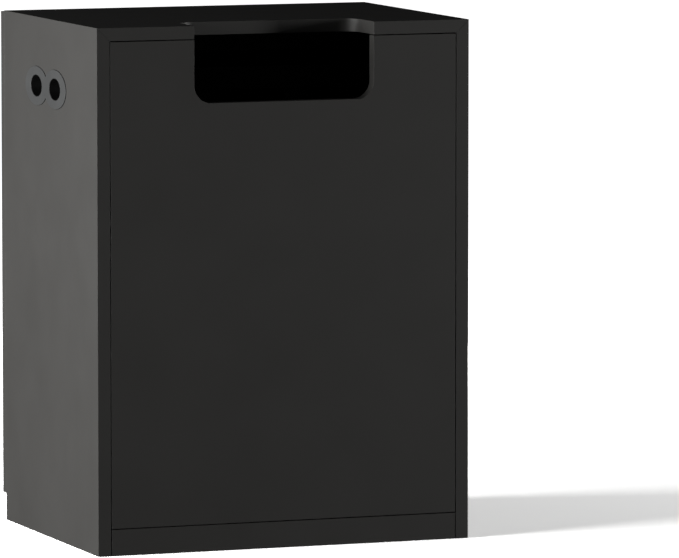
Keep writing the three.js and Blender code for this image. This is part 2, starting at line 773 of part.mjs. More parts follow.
function buildDrive() {
  for (const [name, side] of Object.entries(SIDES)) {
    add(`${name}_power_screw`, powerScrew(side), "steel");
    add(
      `${name}_screw_sprocket`,
      sprocket(side * SCREW_X, SCREW_Y, SCREW_TEETH, SCREW_RADIUS),
      "steel",
    );
  }
  add("drive_chain", driveChain(), "steel");
  add("motor_bracket", motorBracket(), "frame");
  add("gearbox", gearbox(), "zinc");
  add("motor", motorBody(), "plastic");
  const shaftTop = GEARBOX_Z + SHAFT_IN_GEARBOX - SHAFT_END_GAP;
  add("motor_shaft", post(0, MOTOR_Y, SHAFT_RADIUS, BEARING_TOP, shaftTop), "steel");
  add("motor_sprocket", sprocket(0, MOTOR_Y, MOTOR_TEETH, SHAFT_RADIUS), "steel");
}

// ---- Ram ----

function ramPlate() {
  const outer = roundedRectangle(-RAM_HALF, RAM_HALF, RAM_FRONT, RAM_BACK, CONTAINER_RADIUS);
  const inner = roundedRectangle(
    -RAM_HALF + RAM_WALL,
    RAM_HALF - RAM_WALL,
    RAM_FRONT + RAM_WALL,
    RAM_BACK - RAM_WALL,
    CONTAINER_RADIUS - RAM_WALL,
  );
  return cut(
    extrudeAlongZ(outer, RAM_Z, RAM_Z + RAM_HEIGHT, CORNER_SIDES),
    extrudeAlongZ(inner, RAM_Z + RAM_WALL, RAM_Z + RAM_HEIGHT + PAST, CORNER_SIDES),
  );
}

// The beam is a channel, open below, that hangs on the two power nuts.
function ramBeam() {
  const half = SCREW_X + BEAM_END;
  const front = SCREW_Y - BEAM_WIDTH / 2;
  const back = SCREW_Y + BEAM_WIDTH / 2;
  const hollow = box(
    -half - PAST,
    half + PAST,
    front + BEAM_WALL,
    back - BEAM_WALL,
    BEAM_Z - PAST,
    BEAM_TOP - BEAM_WALL,
  );
  const nutHoles = Object.values(SIDES).map((side) =>
    post(side * SCREW_X, SCREW_Y, NUT_RADIUS + FIT, BEAM_Z, BEAM_TOP + PAST),
  );
  return cut(box(-half, half, front, back, BEAM_Z, BEAM_TOP), hollow, ...nutHoles);
}

function ramLeg(side) {
  const half = LEG_SIZE / 2;
  const x = side * LEG_X;
  const bottom = RAM_Z + RAM_WALL + FIT;
  const top = BEAM_TOP - BEAM_WALL - FIT;
  return cut(
    box(x - half, x + half, SCREW_Y - half, SCREW_Y + half, bottom, top),
    box(
      x - half + PLATE,
      x + half - PLATE,
      SCREW_Y - half + PLATE,
      SCREW_Y + half - PLATE,
      bottom - PAST,
      top + PAST,
    ),
  );
}

function powerNut(side) {
  const x = side * SCREW_X;
  const seat = BEAM_TOP + FIT;
  return cut(
    join(
      post(x, SCREW_Y, NUT_RADIUS, seat + NUT_FLANGE_HEIGHT - NUT_LENGTH, seat + PAST),
      post(x, SCREW_Y, NUT_FLANGE, seat, seat + NUT_FLANGE_HEIGHT),
    ),
    post(x, SCREW_Y, SCREW_RADIUS + FIT, BEAM_Z - NUT_LENGTH, seat + NUT_LENGTH),
  );
}

function buildRam() {
  add("ram_plate", ramPlate(), "zinc");
  add("ram_beam", ramBeam(), "frame");
  for (const [name, side] of Object.entries(SIDES)) {
    add(`${name}_ram_leg`, ramLeg(side), "frame");
    add(`${name}_power_nut`, powerNut(side), "bronze");
  }
}

// ---- Drawer ----

function drawerFront() {
  const half = INNER - SEAM;
  const top = TOP_UNDERSIDE - SEAM;
  const bottom = PLINTH_HEIGHT + SEAM;
  const mouthHalf = MOUTH_WIDTH / 2;
  const mouth = roundedRectangle(
    -mouthHalf,
    mouthHalf,
    MOUTH_BOTTOM,
    top + MOUTH_DROP,
    MOUTH_RADIUS,
  );
  return cut(
    box(-half, half, 0, BOARD, bottom, top),
    extrudeAlongY(mouth, -PAST, BOARD + PAST, MOUTH_CORNER_SIDES),
  );
}

// The carrier is a tray with low sides and a tall front plate.
function drawerCarrier() {
  const back = CARRIER_BACK;
  const inside = CARRIER_HALF - PLATE;
  const frontInside = CARRIER_FRONT + PLATE;
  const over = CARRIER_FRONT_TOP + PAST;
  return cut(
    box(-CARRIER_HALF, CARRIER_HALF, CARRIER_FRONT, back, CARRIER_Z, CARRIER_FRONT_TOP),
    box(-inside, inside, frontInside, back + PAST, CARRIER_Z + PLATE, over),
    box(-CARRIER_HALF - PAST, CARRIER_HALF + PAST, frontInside, back + PAST, CARRIER_SIDE_TOP, over),
  );
}

function container() {
  const bottom = CARRIER_Z + PLATE + FIT;
  const outer = roundedRectangle(
    -CONTAINER_HALF,
    CONTAINER_HALF,
    CONTAINER_FRONT,
    CONTAINER_BACK,
    CONTAINER_RADIUS,
  );
  const inner = roundedRectangle(
    -CONTAINER_HALF + CONTAINER_WALL,
    CONTAINER_HALF - CONTAINER_WALL,
    CONTAINER_FRONT + CONTAINER_WALL,
    CONTAINER_BACK - CONTAINER_WALL,
    CONTAINER_RADIUS - CONTAINER_WALL,
  );
  return cut(
    extrudeAlongZ(outer, bottom, CONTAINER_TOP, CORNER_SIDES),
    extrudeAlongZ(inner, bottom + CONTAINER_WALL, CONTAINER_TOP + PAST, CORNER_SIDES),
  );
}

function retainerRing() {
  const ring = (grow) =>
    roundedRectangle(
      -CONTAINER_HALF - grow,
      CONTAINER_HALF + grow,
      CONTAINER_FRONT - grow,
      CONTAINER_BACK + grow,
      CONTAINER_RADIUS + grow,
    );
  const shape = ring(RING_OVERHANG);
  shape.holes.push(ring(RING_OVERHANG - RING_WIDTH));
  return extrudeAlongZ(shape, CONTAINER_TOP + FIT, RING_TOP, CORNER_SIDES);
}

function frontStiffener(side) {
  const outer = STIFFENER_X + STIFFENER_WIDTH;
  const bottom = SLIDE_Z + SLIDE_HEIGHT + STIFFENER_LIFT;
  const top = MOUTH_BOTTOM - STIFFENER_DROP;
  return join(
    sideBox(side, STIFFENER_X, outer, CARRIER_FRONT, CARRIER_FRONT + PLATE, bottom, top),
    sideBox(
      side,
      STIFFENER_X,
      STIFFENER_X + PLATE,
      CARRIER_FRONT,
      CARRIER_FRONT + STIFFENER_RIB,
      bottom,
      top,
    ),
  );
}

// A slide member is a channel: its web is webX from the middle, and its flanges reach to flangeX.
function slideMember(side, webX, flangeX, inset, yBack) {
  const web = SHEET * Math.sign(flangeX - webX);
  const zLow = SLIDE_Z + inset;
  const zHigh = SLIDE_Z + SLIDE_HEIGHT - inset;
  const webLow = Math.min(webX, webX + web);
  const webHigh = Math.max(webX, webX + web);
  const low = Math.min(webX, flangeX);
  const high = Math.max(webX, flangeX);
  return [
    sideBox(side, webLow, webHigh, SLIDE_FRONT, yBack, zLow, zHigh),
    sideBox(side, low, high, SLIDE_FRONT, yBack, zLow, zLow + SHEET),
    sideBox(side, low, high, SLIDE_FRONT, yBack, zHigh - SHEET, zHigh),
  ];
}

// The outer member stands on the base plate by a foot at each end.
function outerSlide(side) {
  const webX = CARRIER_HALF + SLIDE_WIDTH;
  const parts = slideMember(side, webX, CARRIER_HALF + SLIDE_CLEARANCE, 0, SLIDE_BACK);
  const feet = [SLIDE_FRONT + PLATE, SLIDE_BACK - SLIDE_FOOT];
  for (const y of feet) {
    const top = SLIDE_Z + SHEET;
    parts.push(sideBox(side, webX - SHEET, webX, y, y + SLIDE_FOOT, BASE_Z + FIT, top));
    parts.push(
      sideBox(
        side,
        webX - SHEET,
        webX + SLIDE_FOOT_REACH,
        y,
        y + SLIDE_FOOT,
        BASE_Z + FIT,
        BASE_Z + FIT + SHEET,
      ),
    );
  }
  return join(...parts);
}

function middleSlide(side) {
  const inset = SHEET + SLIDE_CLEARANCE;
  const webX = CARRIER_HALF + SLIDE_WIDTH - SHEET - SLIDE_CLEARANCE;
  const flangeX = CARRIER_HALF + SLIDE_CLEARANCE + SHEET;
  return join(...slideMember(side, webX, flangeX, inset, SLIDE_BACK - MIDDLE_SLIDE_SHORT));
}

function innerSlide(side) {
  const inset = 2 * (SHEET + SLIDE_CLEARANCE);
  const webX = CARRIER_HALF + FIT;
  const flangeX = CARRIER_HALF + SLIDE_WIDTH - 2 * (SHEET + SLIDE_CLEARANCE);
  return join(...slideMember(side, webX, flangeX, inset, CONTAINER_BACK));
}

function buildDrawer() {
  add("drawer_front", drawerFront(), "board");
  add("drawer_carrier", drawerCarrier(), "frame");
  add("container", container(), "bin");
  add("bag_retainer", retainerRing(), "plastic");
  for (const [name, side] of Object.entries(SIDES)) {
    add(`${name}_front_stiffener`, frontStiffener(side), "frame");
    add(`${name}_outer_slide`, outerSlide(side), "zinc");
    add(`${name}_middle_slide`, middleSlide(side), "zinc");
    add(`${name}_inner_slide`, innerSlide(side), "zinc");
  }
}

// ---- Controls and electrics ----

const controlY = (n) => CONSOLE_FRONT + CONSOLE_DEPTH / 2 + (n - 1) * BUTTON_PITCH;

function controlConsole() {
  const top = TOP_UNDERSIDE - FIT;
  const bottom = top - CONSOLE_HEIGHT;
  const outer = box(CONSOLE_END, CONSOLE_FACE, CONSOLE_FRONT, CONSOLE_BACK, bottom, top);
  const hollow = box(
    CONSOLE_END + CONSOLE_WALL,
    CONSOLE_FACE - CONSOLE_WALL,
    CONSOLE_FRONT + CONSOLE_WALL,
    CONSOLE_BACK - CONSOLE_WALL,
    bottom + CONSOLE_WALL,
    top + PAST,
  );
  const holes = [0, 1, 2].map((n) =>
    crossRod(
      controlY(n),
      CONTROL_Z,
      BUTTON_RADIUS + BUTTON_CLEARANCE,
      CONSOLE_FACE - CONSOLE_WALL - PAST,
      CONSOLE_FACE + PAST,
    ),
  );
  const leadX = CONSOLE_END + LEAD_INSET;
  const leadHalf = LEAD_RADIUS + LEAD_CLEARANCE;
  const leadHole = box(
    leadX - leadHalf,
    leadX + leadHalf,
    CONSOLE_BACK - CONSOLE_WALL - PAST,
    CONSOLE_BACK + PAST,
    CONTROL_Z - leadHalf,
    CONTROL_Z + leadHalf,
  );
  return cut(outer, hollow, ...holes, leadHole);
}

function button(n) {
  return crossRod(
    controlY(n),
    CONTROL_Z,
    BUTTON_RADIUS,
    CONSOLE_FACE + BUTTON_PROUD - BUTTON_LENGTH,
    CONSOLE_FACE + BUTTON_PROUD,
  );
}

// The key switch's barrel has a keyway across its face.
function keySwitch() {
  const half = BUTTON_RADIUS - KEYWAY.end;
  const keyway = box(
    CONSOLE_FACE + BUTTON_PROUD - KEYWAY.depth,
    CONSOLE_FACE + BUTTON_PROUD + PAST,
    controlY(2) - KEYWAY.width / 2,
    controlY(2) + KEYWAY.width / 2,
    CONTROL_Z - half,
    CONTROL_Z + half,
  );
  return cut(button(2), keyway);
}

function controlBox() {
  const { x, width, depth, bottom, height } = CONTROL_BOX;
  const back = SIDE_DEPTH - FIT;
  return box(x - width / 2, x + width / 2, back - depth, back, bottom, bottom + height);
}

// The inlet's housing passes through the back panel, held by ears inside it, with an open socket.
function mainsInlet() {
  const { x, z, width, height, lug, lip, depth, wall } = INLET;
  const back = SIDE_DEPTH + BACK_THICKNESS - FIT;
  const outside = back - lip;
  const body = box(
    x - width / 2,
    x + width / 2,
    outside - depth,
    back,
    z - height / 2,
    z + height / 2,
  );
  const socket = box(
    x - width / 2 + wall,
    x + width / 2 - wall,
    outside - depth + INLET_FLOOR,
    back + PAST,
    z - height / 2 + wall,
    z + height / 2 - wall,
  );
  const ears = box(
    x - width / 2 - lug,
    x + width / 2 + lug,
    SIDE_DEPTH - FIT - lip,
    SIDE_DEPTH - FIT,
    z - height / 2,
    z + height / 2,
  );
  return cut(join(body, ears), socket);
}

// A lead runs through its points with rounded corners.
function lead(points) {
  const path = new THREE.CatmullRomCurve3(
    points.map(([x, y, z]) => vector(x, y, z)),
    false,
    "catmullrom",
    LEAD_TENSION,
  );
  const section = new THREE.Shape();
  for (let n = 0; n < LEAD_SIDES; n += 1) {
    const angle = (2 * Math.PI * n) / LEAD_SIDES;
    const corner = [LEAD_RADIUS * Math.cos(angle), LEAD_RADIUS * Math.sin(angle)];
    if (n === 0) {
      section.moveTo(...corner);
    } else {
      section.lineTo(...corner);
    }
  }
  section.closePath();
  return new THREE.ExtrudeGeometry(section, {
    steps: LEAD_STEPS * (points.length - 1),
    bevelEnabled: false,
    extrudePath: path,
  });
}

// Two sensor barrels, for the parked and the lowest beam, on a strip between the right-hand posts.
function limitSensors() {
  const strip = box(
    FRAME_OUTER - PLATE,
    FRAME_OUTER,
    SCREW_Y - POST_SIZE / 2,
    SCREW_Y + POST_SIZE / 2,
    BASE_Z + FIT,
    FRAME_TOP - FIT,
  );
  const beamEnd = SCREW_X + BEAM_END;
  const beamMiddle = (BEAM_Z + BEAM_TOP) / 2;
  const barrels = [beamMiddle, beamMiddle - RAM_STROKE].map((z) =>
    crossRod(SCREW_Y, z, SENSOR_RADIUS, beamEnd + SENSOR_GAP, FRAME_OUTER - PAST),
  );
  return join(strip, ...barrels);
}

function buildElectrics() {
  add("control_console", controlConsole(), "plastic");
  add("start_button", button(0), "green");
  add("stop_button", button(1), "red");
  add("key_switch", keySwitch(), "zinc");
  add("control_box", controlBox(), "plastic");
  add("mains_inlet", mainsInlet(), "plastic");
  add("limit_sensors", limitSensors(), "zinc");

  const leadX = CONSOLE_END + LEAD_INSET;
  const rear = SIDE_DEPTH - CONTROL_BOX.depth / 2;
  const boxTop = CONTROL_BOX.bottom + CONTROL_BOX.height;
  const boxSide = CONTROL_BOX.x - CONTROL_BOX.width / 2;
  const underMember = CROSSMEMBER_Z - LEAD_RADIUS - LEAD_GAP;
  const underTop = TOP_UNDERSIDE - LEAD_RADIUS - LEAD_GAP;
  const onBack = SIDE_DEPTH - LEAD_RADIUS - LEAD_GAP;
  const besideBearing = -(SCREW_X - BEARING_SIZE / 2 - 3 * LEAD_RADIUS);
  const bend = 2 * BEARING_SIZE;
  add(
    "control_lead",
    lead([
      [leadX, CONSOLE_BACK - LEAD_TAIL, CONTROL_Z],
      [leadX, CONSOLE_BACK + LEAD_TAIL, CONTROL_Z],
      [besideBearing, SCREW_Y - BEARING_SIZE, underMember],
      [besideBearing, SCREW_Y + BEARING_SIZE, underMember],
      [besideBearing, SCREW_Y + BEARING_SIZE + bend, underTop],
      [besideBearing, onBack - bend, underTop],
      [besideBearing + bend, onBack, underTop],
      [CONTROL_BOX.x - bend, onBack, underTop],
      [CONTROL_BOX.x, onBack, underTop - bend],
      [CONTROL_BOX.x, rear, boxTop + 2 * LEAD_TAIL],
      [CONTROL_BOX.x, rear, boxTop + FIT],
    ]),
    "plastic",
  );
  const motorLeadZ = CONTROL_BOX.bottom + CONTROL_BOX.height / 4;
  const motorLeadX = MOTOR_RADIUS * MOTOR_LEAD_SHARE;
  add(
    "motor_lead",
    lead([
      [boxSide - FIT, rear, motorLeadZ],
      [boxSide - LEAD_TAIL, rear, motorLeadZ],
      [motorLeadX + LEAD_TAIL, MOTOR_Y, (motorLeadZ + MOTOR_TOP) / 2],
      [motorLeadX, MOTOR_Y, MOTOR_TOP + LEAD_TAIL],
      [motorLeadX, MOTOR_Y, MOTOR_TOP + FIT],
    ]),
    "plastic",
  );
  const inletInside = SIDE_DEPTH + BACK_THICKNESS - FIT - INLET.lip - INLET.depth;
  const halfway = (INLET.z + CONTROL_BOX.bottom) / 2;
  add(
    "mains_lead",
    lead([
      [INLET.x, inletInside - FIT, INLET.z],
      [INLET.x, inletInside - LEAD_TAIL, INLET.z],
      [(INLET.x + CONTROL_BOX.x) / 2, rear - LEAD_TAIL, halfway],
      [CONTROL_BOX.x, rear, CONTROL_BOX.bottom - LEAD_TAIL],
      [CONTROL_BOX.x, rear, CONTROL_BOX.bottom - FIT],
    ]),
    "plastic",
  );
}

buildCabinet();
buildFrame();
buildDrive();
buildRam();
buildDrawer();
buildElectrics();

export default compactor;
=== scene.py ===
import json
import math

import bmesh
import bpy
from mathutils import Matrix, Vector


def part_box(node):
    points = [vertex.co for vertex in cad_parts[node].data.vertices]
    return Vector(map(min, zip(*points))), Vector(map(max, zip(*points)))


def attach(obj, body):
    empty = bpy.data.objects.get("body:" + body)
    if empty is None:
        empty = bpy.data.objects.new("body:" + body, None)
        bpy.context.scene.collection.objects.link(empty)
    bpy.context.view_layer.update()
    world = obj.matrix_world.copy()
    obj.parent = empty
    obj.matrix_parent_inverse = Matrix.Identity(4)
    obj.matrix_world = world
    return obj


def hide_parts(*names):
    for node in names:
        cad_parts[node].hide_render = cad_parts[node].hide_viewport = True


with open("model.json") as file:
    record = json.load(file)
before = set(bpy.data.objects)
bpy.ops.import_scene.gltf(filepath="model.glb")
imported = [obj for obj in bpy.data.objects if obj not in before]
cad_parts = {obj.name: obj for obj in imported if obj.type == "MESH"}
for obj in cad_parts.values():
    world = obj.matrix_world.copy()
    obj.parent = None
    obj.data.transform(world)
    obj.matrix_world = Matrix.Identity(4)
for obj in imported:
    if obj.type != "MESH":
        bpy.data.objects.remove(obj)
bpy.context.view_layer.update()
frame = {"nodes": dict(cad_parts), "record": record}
nodes = frame["nodes"]
scene = bpy.context.scene
record = frame["record"]
SLOT_OF = {part["node"]: part["material_slot"] for part in record["subparts"]}
BODY_OF = {node: body for body, names in record["behaviour"]["bodies"].items() for node in names}
MM = 1000
SIDES = {"left": -1, "right": 1}
# The stretch of a grain that is the same along every axis.
EVEN = (1.0, 1.0, 1.0)


# ---- Camera, light and floor ----

def node(tree, kind, inputs=None, **settings):
    made = tree.nodes.new(kind)
    for name, value in settings.items():
        setattr(made, name, value)
    for socket, value in (inputs or {}).items():
        if isinstance(value, bpy.types.NodeSocket):
            tree.links.new(value, made.inputs[socket])
        else:
            made.inputs[socket].default_value = value
    return made


CAMERA_LENS = 379.15
CAMERA_AT = (-3.7267, -10.3806, 1.5133)
CAMERA_TILT = 84.18
CAMERA_AZIMUTH = -20.61


def make_camera():
    data = bpy.data.cameras.new("camera")
    data.sensor_width = 36
    data.lens = CAMERA_LENS
    data.clip_start, data.clip_end = 0.5, 80
    camera = bpy.data.objects.new("camera", data)
    camera.location = CAMERA_AT
    camera.rotation_euler = (math.radians(CAMERA_TILT), 0, math.radians(CAMERA_AZIMUTH))
    scene.collection.objects.link(camera)
    scene.camera = camera


# A soft box seen from the object at this azimuth (0 in front, 90 on the right) and elevation, aimed
# at this height above the object's foot.
def make_softbox(name, azimuth, elevation, distance, aim, energy, width, height, colour):
    data = bpy.data.lights.new(name, "AREA")
    data.energy = energy
    data.color = colour
    data.shape = "RECTANGLE"
    data.size, data.size_y = width, height
    light = bpy.data.objects.new(name, data)
    a, e = math.radians(azimuth), math.radians(elevation)
    away = Vector((math.sin(a) * math.cos(e), -math.cos(a) * math.cos(e), math.sin(e)))
    light.location = Vector((0, 0, aim)) + away * distance
    light.rotation_euler = away.to_track_quat("Z", "Y").to_euler()
    light.visible_camera = False
    scene.collection.objects.link(light)


# A dim sky that lights from above, seen by the camera as plain white.
def make_world():
    world = bpy.data.worlds.new("studio")
    world.use_nodes = True
    tree = world.node_tree
    tree.nodes.clear()
    towards = node(tree, "ShaderNodeTexCoord").outputs["Generated"]
    up = node(tree, "ShaderNodeSeparateXYZ", {0: towards}).outputs["Z"]
    sky = node(tree, "ShaderNodeMapRange",
               {"Value": up, "From Min": 0.3, "From Max": 0.7, "To Min": 0.01, "To Max": 0.042})
    dim = node(tree, "ShaderNodeBackground", {"Strength": sky.outputs["Result"]})
    white = node(tree, "ShaderNodeBackground", {"Color": (1, 1, 1, 1), "Strength": 1.1})
    seen = node(tree, "ShaderNodeLightPath").outputs["Is Camera Ray"]
    both = node(tree, "ShaderNodeMixShader", {0: seen, 1: dim.outputs[0], 2: white.outputs[0]})
    node(tree, "ShaderNodeOutputWorld", {"Surface": both.outputs[0]})
    scene.world = world


# A white floor that takes shadows near the object and glows plain white further out. It doesn't
# throw light back up at the object.
def make_floor():
    mesh = bpy.data.meshes.new("floor")
    half, below = 30, -0.0002
    shadow_reach, plain_from = 1.2, 2.0
    square = [(-half, -half, below), (half, -half, below), (half, half, below), (-half, half, below)]
    mesh.from_pydata(square, [], [(0, 1, 2, 3)])
    material = bpy.data.materials.new("floor")
    material.use_nodes = True
    tree = material.node_tree
    tree.nodes.clear()
    place = node(tree, "ShaderNodeTexCoord").outputs["Object"]
    away = node(tree, "ShaderNodeVectorMath", {0: place}, operation="LENGTH").outputs["Value"]
    lift = node(tree, "ShaderNodeMapRange",
                {"Value": away, "From Min": shadow_reach, "From Max": plain_from,
                 "To Min": 0.15, "To Max": 1.05})
    diffuse = node(tree, "ShaderNodeBsdfDiffuse", {"Color": (3.0, 3.0, 3.0, 1)})
    glow = node(tree, "ShaderNodeEmission", {"Color": (1, 1, 1, 1), "Strength": lift.outputs["Result"]})
    both = node(tree, "ShaderNodeAddShader", {0: diffuse.outputs[0], 1: glow.outputs[0]})
    node(tree, "ShaderNodeOutputMaterial", {"Surface": both.outputs[0]})
    mesh.materials.append(material)
    floor = bpy.data.objects.new("floor", mesh)
    scene.collection.objects.link(floor)
    floor.visible_diffuse = False
    floor.visible_glossy = False


def make_studio():
    scene.view_settings.view_transform = "Standard"
    warm, white = (1.0, 0.998, 0.99), (1.0, 1.0, 1.0)
    make_softbox("key", azimuth=-88, elevation=2, distance=2.6, aim=0.55,
                 energy=195, width=2.1, height=1.3, colour=warm)
    make_softbox("fill", azimuth=58, elevation=4, distance=6.0, aim=0.45,
                 energy=205, width=0.8, height=1.4, colour=warm)
    make_softbox("back_light", azimuth=140, elevation=0, distance=2.6, aim=0.35,
                 energy=15, width=1.8, height=0.6, colour=white)
    make_world()
    make_floor()


# ---- Materials ----

# The size in metres of the patches where an edge is rubbed.
PATCH_SIZE = 1 / 90


def shade(colour, factor):
    return tuple(min(1.0, part * factor) for part in colour) + (1.0,)


# A surface with blotches in its roughness and tone, grains as bump, softened edges, and edges
# rubbed to another tone. A grain is its size and height in metres and its stretch along each axis.
def finish(name, colour, roughness, grains, spread=0.06, tone=0.12, blotch=0.12, edge=0.0006,
           wear=0.0, worn=(0.5, 0.5, 0.5), worn_roughness=0.4, metallic=0.0, specular=0.5, coat=0.0,
           flecks=0.0, fleck=(0.1, 0.1, 0.1), fleck_size=0.002):
    material = bpy.data.materials.new(name)
    material.use_nodes = True
    tree = material.node_tree
    tree.nodes.clear()
    place = node(tree, "ShaderNodeTexCoord").outputs["Object"]
    cloud = node(tree, "ShaderNodeTexNoise",
                 {"Vector": place, "Scale": 1 / blotch, "Detail": 4.0, "Roughness": 0.6}).outputs["Fac"]
    bevel = node(tree, "ShaderNodeBevel", {"Radius": edge}, samples=4).outputs["Normal"]
    normal = bevel
    for size, height, stretch in grains:
        spot = node(tree, "ShaderNodeMapping", {"Vector": place, "Scale": stretch}).outputs["Vector"]
        grain = node(tree, "ShaderNodeTexNoise",
                     {"Vector": spot, "Scale": 1 / size, "Detail": 2.0, "Roughness": 0.5}).outputs["Fac"]
        normal = node(tree, "ShaderNodeBump",
                      {"Height": grain, "Normal": normal, "Strength": 1.0,
                       "Distance": height}).outputs["Normal"]
    paint = node(tree, "ShaderNodeMix",
                 {"Factor": cloud, 6: shade(colour, 1 - tone), 7: shade(colour, 1 + tone)},
                 data_type="RGBA").outputs[2]
    rough = node(tree, "ShaderNodeMapRange",
                 {"Value": cloud, "From Min": 0.3, "From Max": 0.7,
                  "To Min": roughness - spread, "To Max": roughness + spread}).outputs["Result"]
    if flecks:
        spots = node(tree, "ShaderNodeTexVoronoi",
                     {"Vector": place, "Scale": 1 / fleck_size}).outputs["Color"]
        level = node(tree, "ShaderNodeSeparateXYZ", {0: spots}).outputs["X"]
        chosen = node(tree, "ShaderNodeMapRange",
                      {"Value": level, "From Min": 1 - flecks, "From Max": 1.0}).outputs["Result"]
        paint = node(tree, "ShaderNodeMix", {"Factor": chosen, 6: paint, 7: (*fleck, 1.0)},
                     data_type="RGBA").outputs[2]
    if wear:
        true = node(tree, "ShaderNodeNewGeometry").outputs["True Normal"]
        facing = node(tree, "ShaderNodeVectorMath", {0: bevel, 1: true},
                      operation="DOT_PRODUCT").outputs["Value"]
        rim = node(tree, "ShaderNodeMapRange",
                   {"Value": facing, "From Min": 0.97, "From Max": 0.85, "To Min": 0.0, "To Max": wear})
        patch = node(tree, "ShaderNodeTexNoise",
                     {"Vector": place, "Scale": 1 / PATCH_SIZE, "Detail": 3.0,
                      "Roughness": 0.65}).outputs["Fac"]
        patch = node(tree, "ShaderNodeMapRange", {"Value": patch, "From Min": 0.42, "From Max": 0.6})
        rubbed = node(tree, "ShaderNodeMath", {0: rim.outputs["Result"], 1: patch.outputs["Result"]},
                      operation="MULTIPLY").outputs["Value"]
        paint = node(tree, "ShaderNodeMix", {"Factor": rubbed, 6: paint, 7: (*worn, 1.0)},
                     data_type="RGBA").outputs[2]
        rough = node(tree, "ShaderNodeMix", {"Factor": rubbed, 2: rough, 3: worn_roughness},
                     data_type="FLOAT").outputs[0]
    shader = node(tree, "ShaderNodeBsdfPrincipled",
                  {"Base Color": paint, "Roughness": rough, "Normal": normal, "Metallic": metallic,
                   "Specular IOR Level": specular, "Coat Weight": coat})
    node(tree, "ShaderNodeOutputMaterial", {"Surface": shader.outputs[0]})
    return material


FINISHES = {
    "board": finish("board", (0.028, 0.0274, 0.0262), 0.52,
                    [(0.0009, 0.00003, EVEN), (0.006, 0.00004, EVEN)],
                    specular=0.3, spread=0.03, tone=0.03, wear=0.25, worn=(0.07, 0.069, 0.066)),
    "trim": finish("trim", (0.034, 0.035, 0.0355), 0.44, [(0.0006, 0.00003, EVEN)], specular=0.4,
                   wear=0.5, worn=(0.09, 0.09, 0.092)),
    "housing_plastic": finish("housing_plastic", (0.012, 0.012, 0.0125), 0.48, [(0.0006, 0.00003, EVEN)],
                              specular=0.35, wear=0.3, worn=(0.06, 0.06, 0.06)),
    "lead_sheath": finish("lead_sheath", (0.004, 0.004, 0.004), 0.6, [(0.0004, 0.00002, EVEN)],
                          specular=0.2),
    "charcoal": finish("charcoal", (0.006, 0.006, 0.006), 0.8, [(0.0014, 0.0006, EVEN)],
                       flecks=0.25, fleck=(0.016, 0.016, 0.017), fleck_size=0.0012),
    "frame_paint": finish("frame_paint", (0.011, 0.0113, 0.012), 0.5, [(0.0011, 0.00006, EVEN)],
                          specular=0.3, wear=0.5, worn=(0.12, 0.12, 0.12)),
    "zinc": finish("zinc", (0.42, 0.43, 0.44), 0.36, [(0.0016, 0.00002, (1.0, 1.0, 0.2))], metallic=1.0,
                   wear=0.6, worn=(0.6, 0.6, 0.6), worn_roughness=0.25, flecks=0.25,
                   fleck=(0.36, 0.38, 0.41), fleck_size=0.006),
    "machined_steel": finish("machined_steel", (0.32, 0.325, 0.33), 0.3,
                             [(0.0005, 0.00001, (1.0, 1.0, 0.3))], metallic=1.0,
                             wear=0.5, worn=(0.55, 0.55, 0.55), worn_roughness=0.2),
    "bronze": finish("bronze", (0.42, 0.26, 0.11), 0.38, [(0.0007, 0.00003, EVEN)], metallic=1.0,
                     flecks=0.15, fleck=(0.2, 0.12, 0.05), fleck_size=0.0006),
    "bin_plastic": finish("bin_plastic", (0.033, 0.034, 0.036), 0.48,
                          [(0.0008, 0.00005, EVEN), (0.03, 0.0002, EVEN)],
                          wear=0.4, worn=(0.09, 0.09, 0.09)),
    "motor_paint": finish("motor_paint", (0.012, 0.012, 0.013), 0.33, [(0.002, 0.00003, EVEN)],
                          wear=0.6, worn=(0.25, 0.25, 0.25)),
    "gearbox_alloy": finish("gearbox_alloy", (0.42, 0.42, 0.42), 0.5, [(0.0007, 0.00008, EVEN)],
                            metallic=1.0, wear=0.4, worn=(0.6, 0.6, 0.6)),
    "button_green": finish("button_green", (0.012, 0.13, 0.04), 0.28, [(0.003, 0.00001, EVEN)], coat=0.3),
    "button_red": finish("button_red", (0.28, 0.008, 0.006), 0.28, [(0.003, 0.00001, EVEN)], coat=0.3),
}


# ---- Mesh tools ----

# Edges that turn by more than this many degrees are rounded.
SOFTENED_ANGLE = 38
# The strongest hold of the flat faces over the normals round them.
FLATTEST = 100
# Welding distance and flatness in degrees for a CAD node's triangles.
WELD = 1e-6
FLAT_ANGLE = 0.4


def metres(point):
    return tuple(part / MM for part in point)


# Box of a CAD node in millimetres: its lowest corner, highest corner and middle.
def corners(name):
    low, high = (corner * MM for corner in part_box(name))
    return low, high, (low + high) / 2


def add_block(bm, low, high):
    for vert in bmesh.ops.create_cube(bm, size=1)["verts"]:
        vert.co = Vector(a + (part + 0.5) * (b - a) for part, a, b in zip(vert.co, low, high))


# A turned shape: rings of a radius and a height along the axis. A radius is a number or a function
# of the angle. A closed shape joins its last ring to its first, as a bush or washer does.
def add_turned(bm, at, axis, rings, sides=24, closed=False):
    axis = Vector(axis).normalized()
    side = Vector((0, 0, 1)) if abs(axis.z) < 0.5 else Vector((1, 0, 0))
    across = axis.cross(side)
    loops = []
    for radius, height in rings:
        loop = []
        for step in range(sides):
            angle = 2 * math.pi * step / sides
            reach = radius(angle) if callable(radius) else radius
            spoke = side * math.cos(angle) + across * math.sin(angle)
            loop.append(bm.verts.new(Vector(at) + axis * height + spoke * reach))
        loops.append(loop)
    pairs = list(zip(loops, loops[1:]))
    if closed:
        pairs.append((loops[-1], loops[0]))
    for low, high in pairs:
        for step in range(sides):
            after = (step + 1) % sides
            bm.faces.new((low[step], low[after], high[after], high[step]))
    if not closed:
        bm.faces.new(loops[0][::-1])
        bm.faces.new(loops[-1])


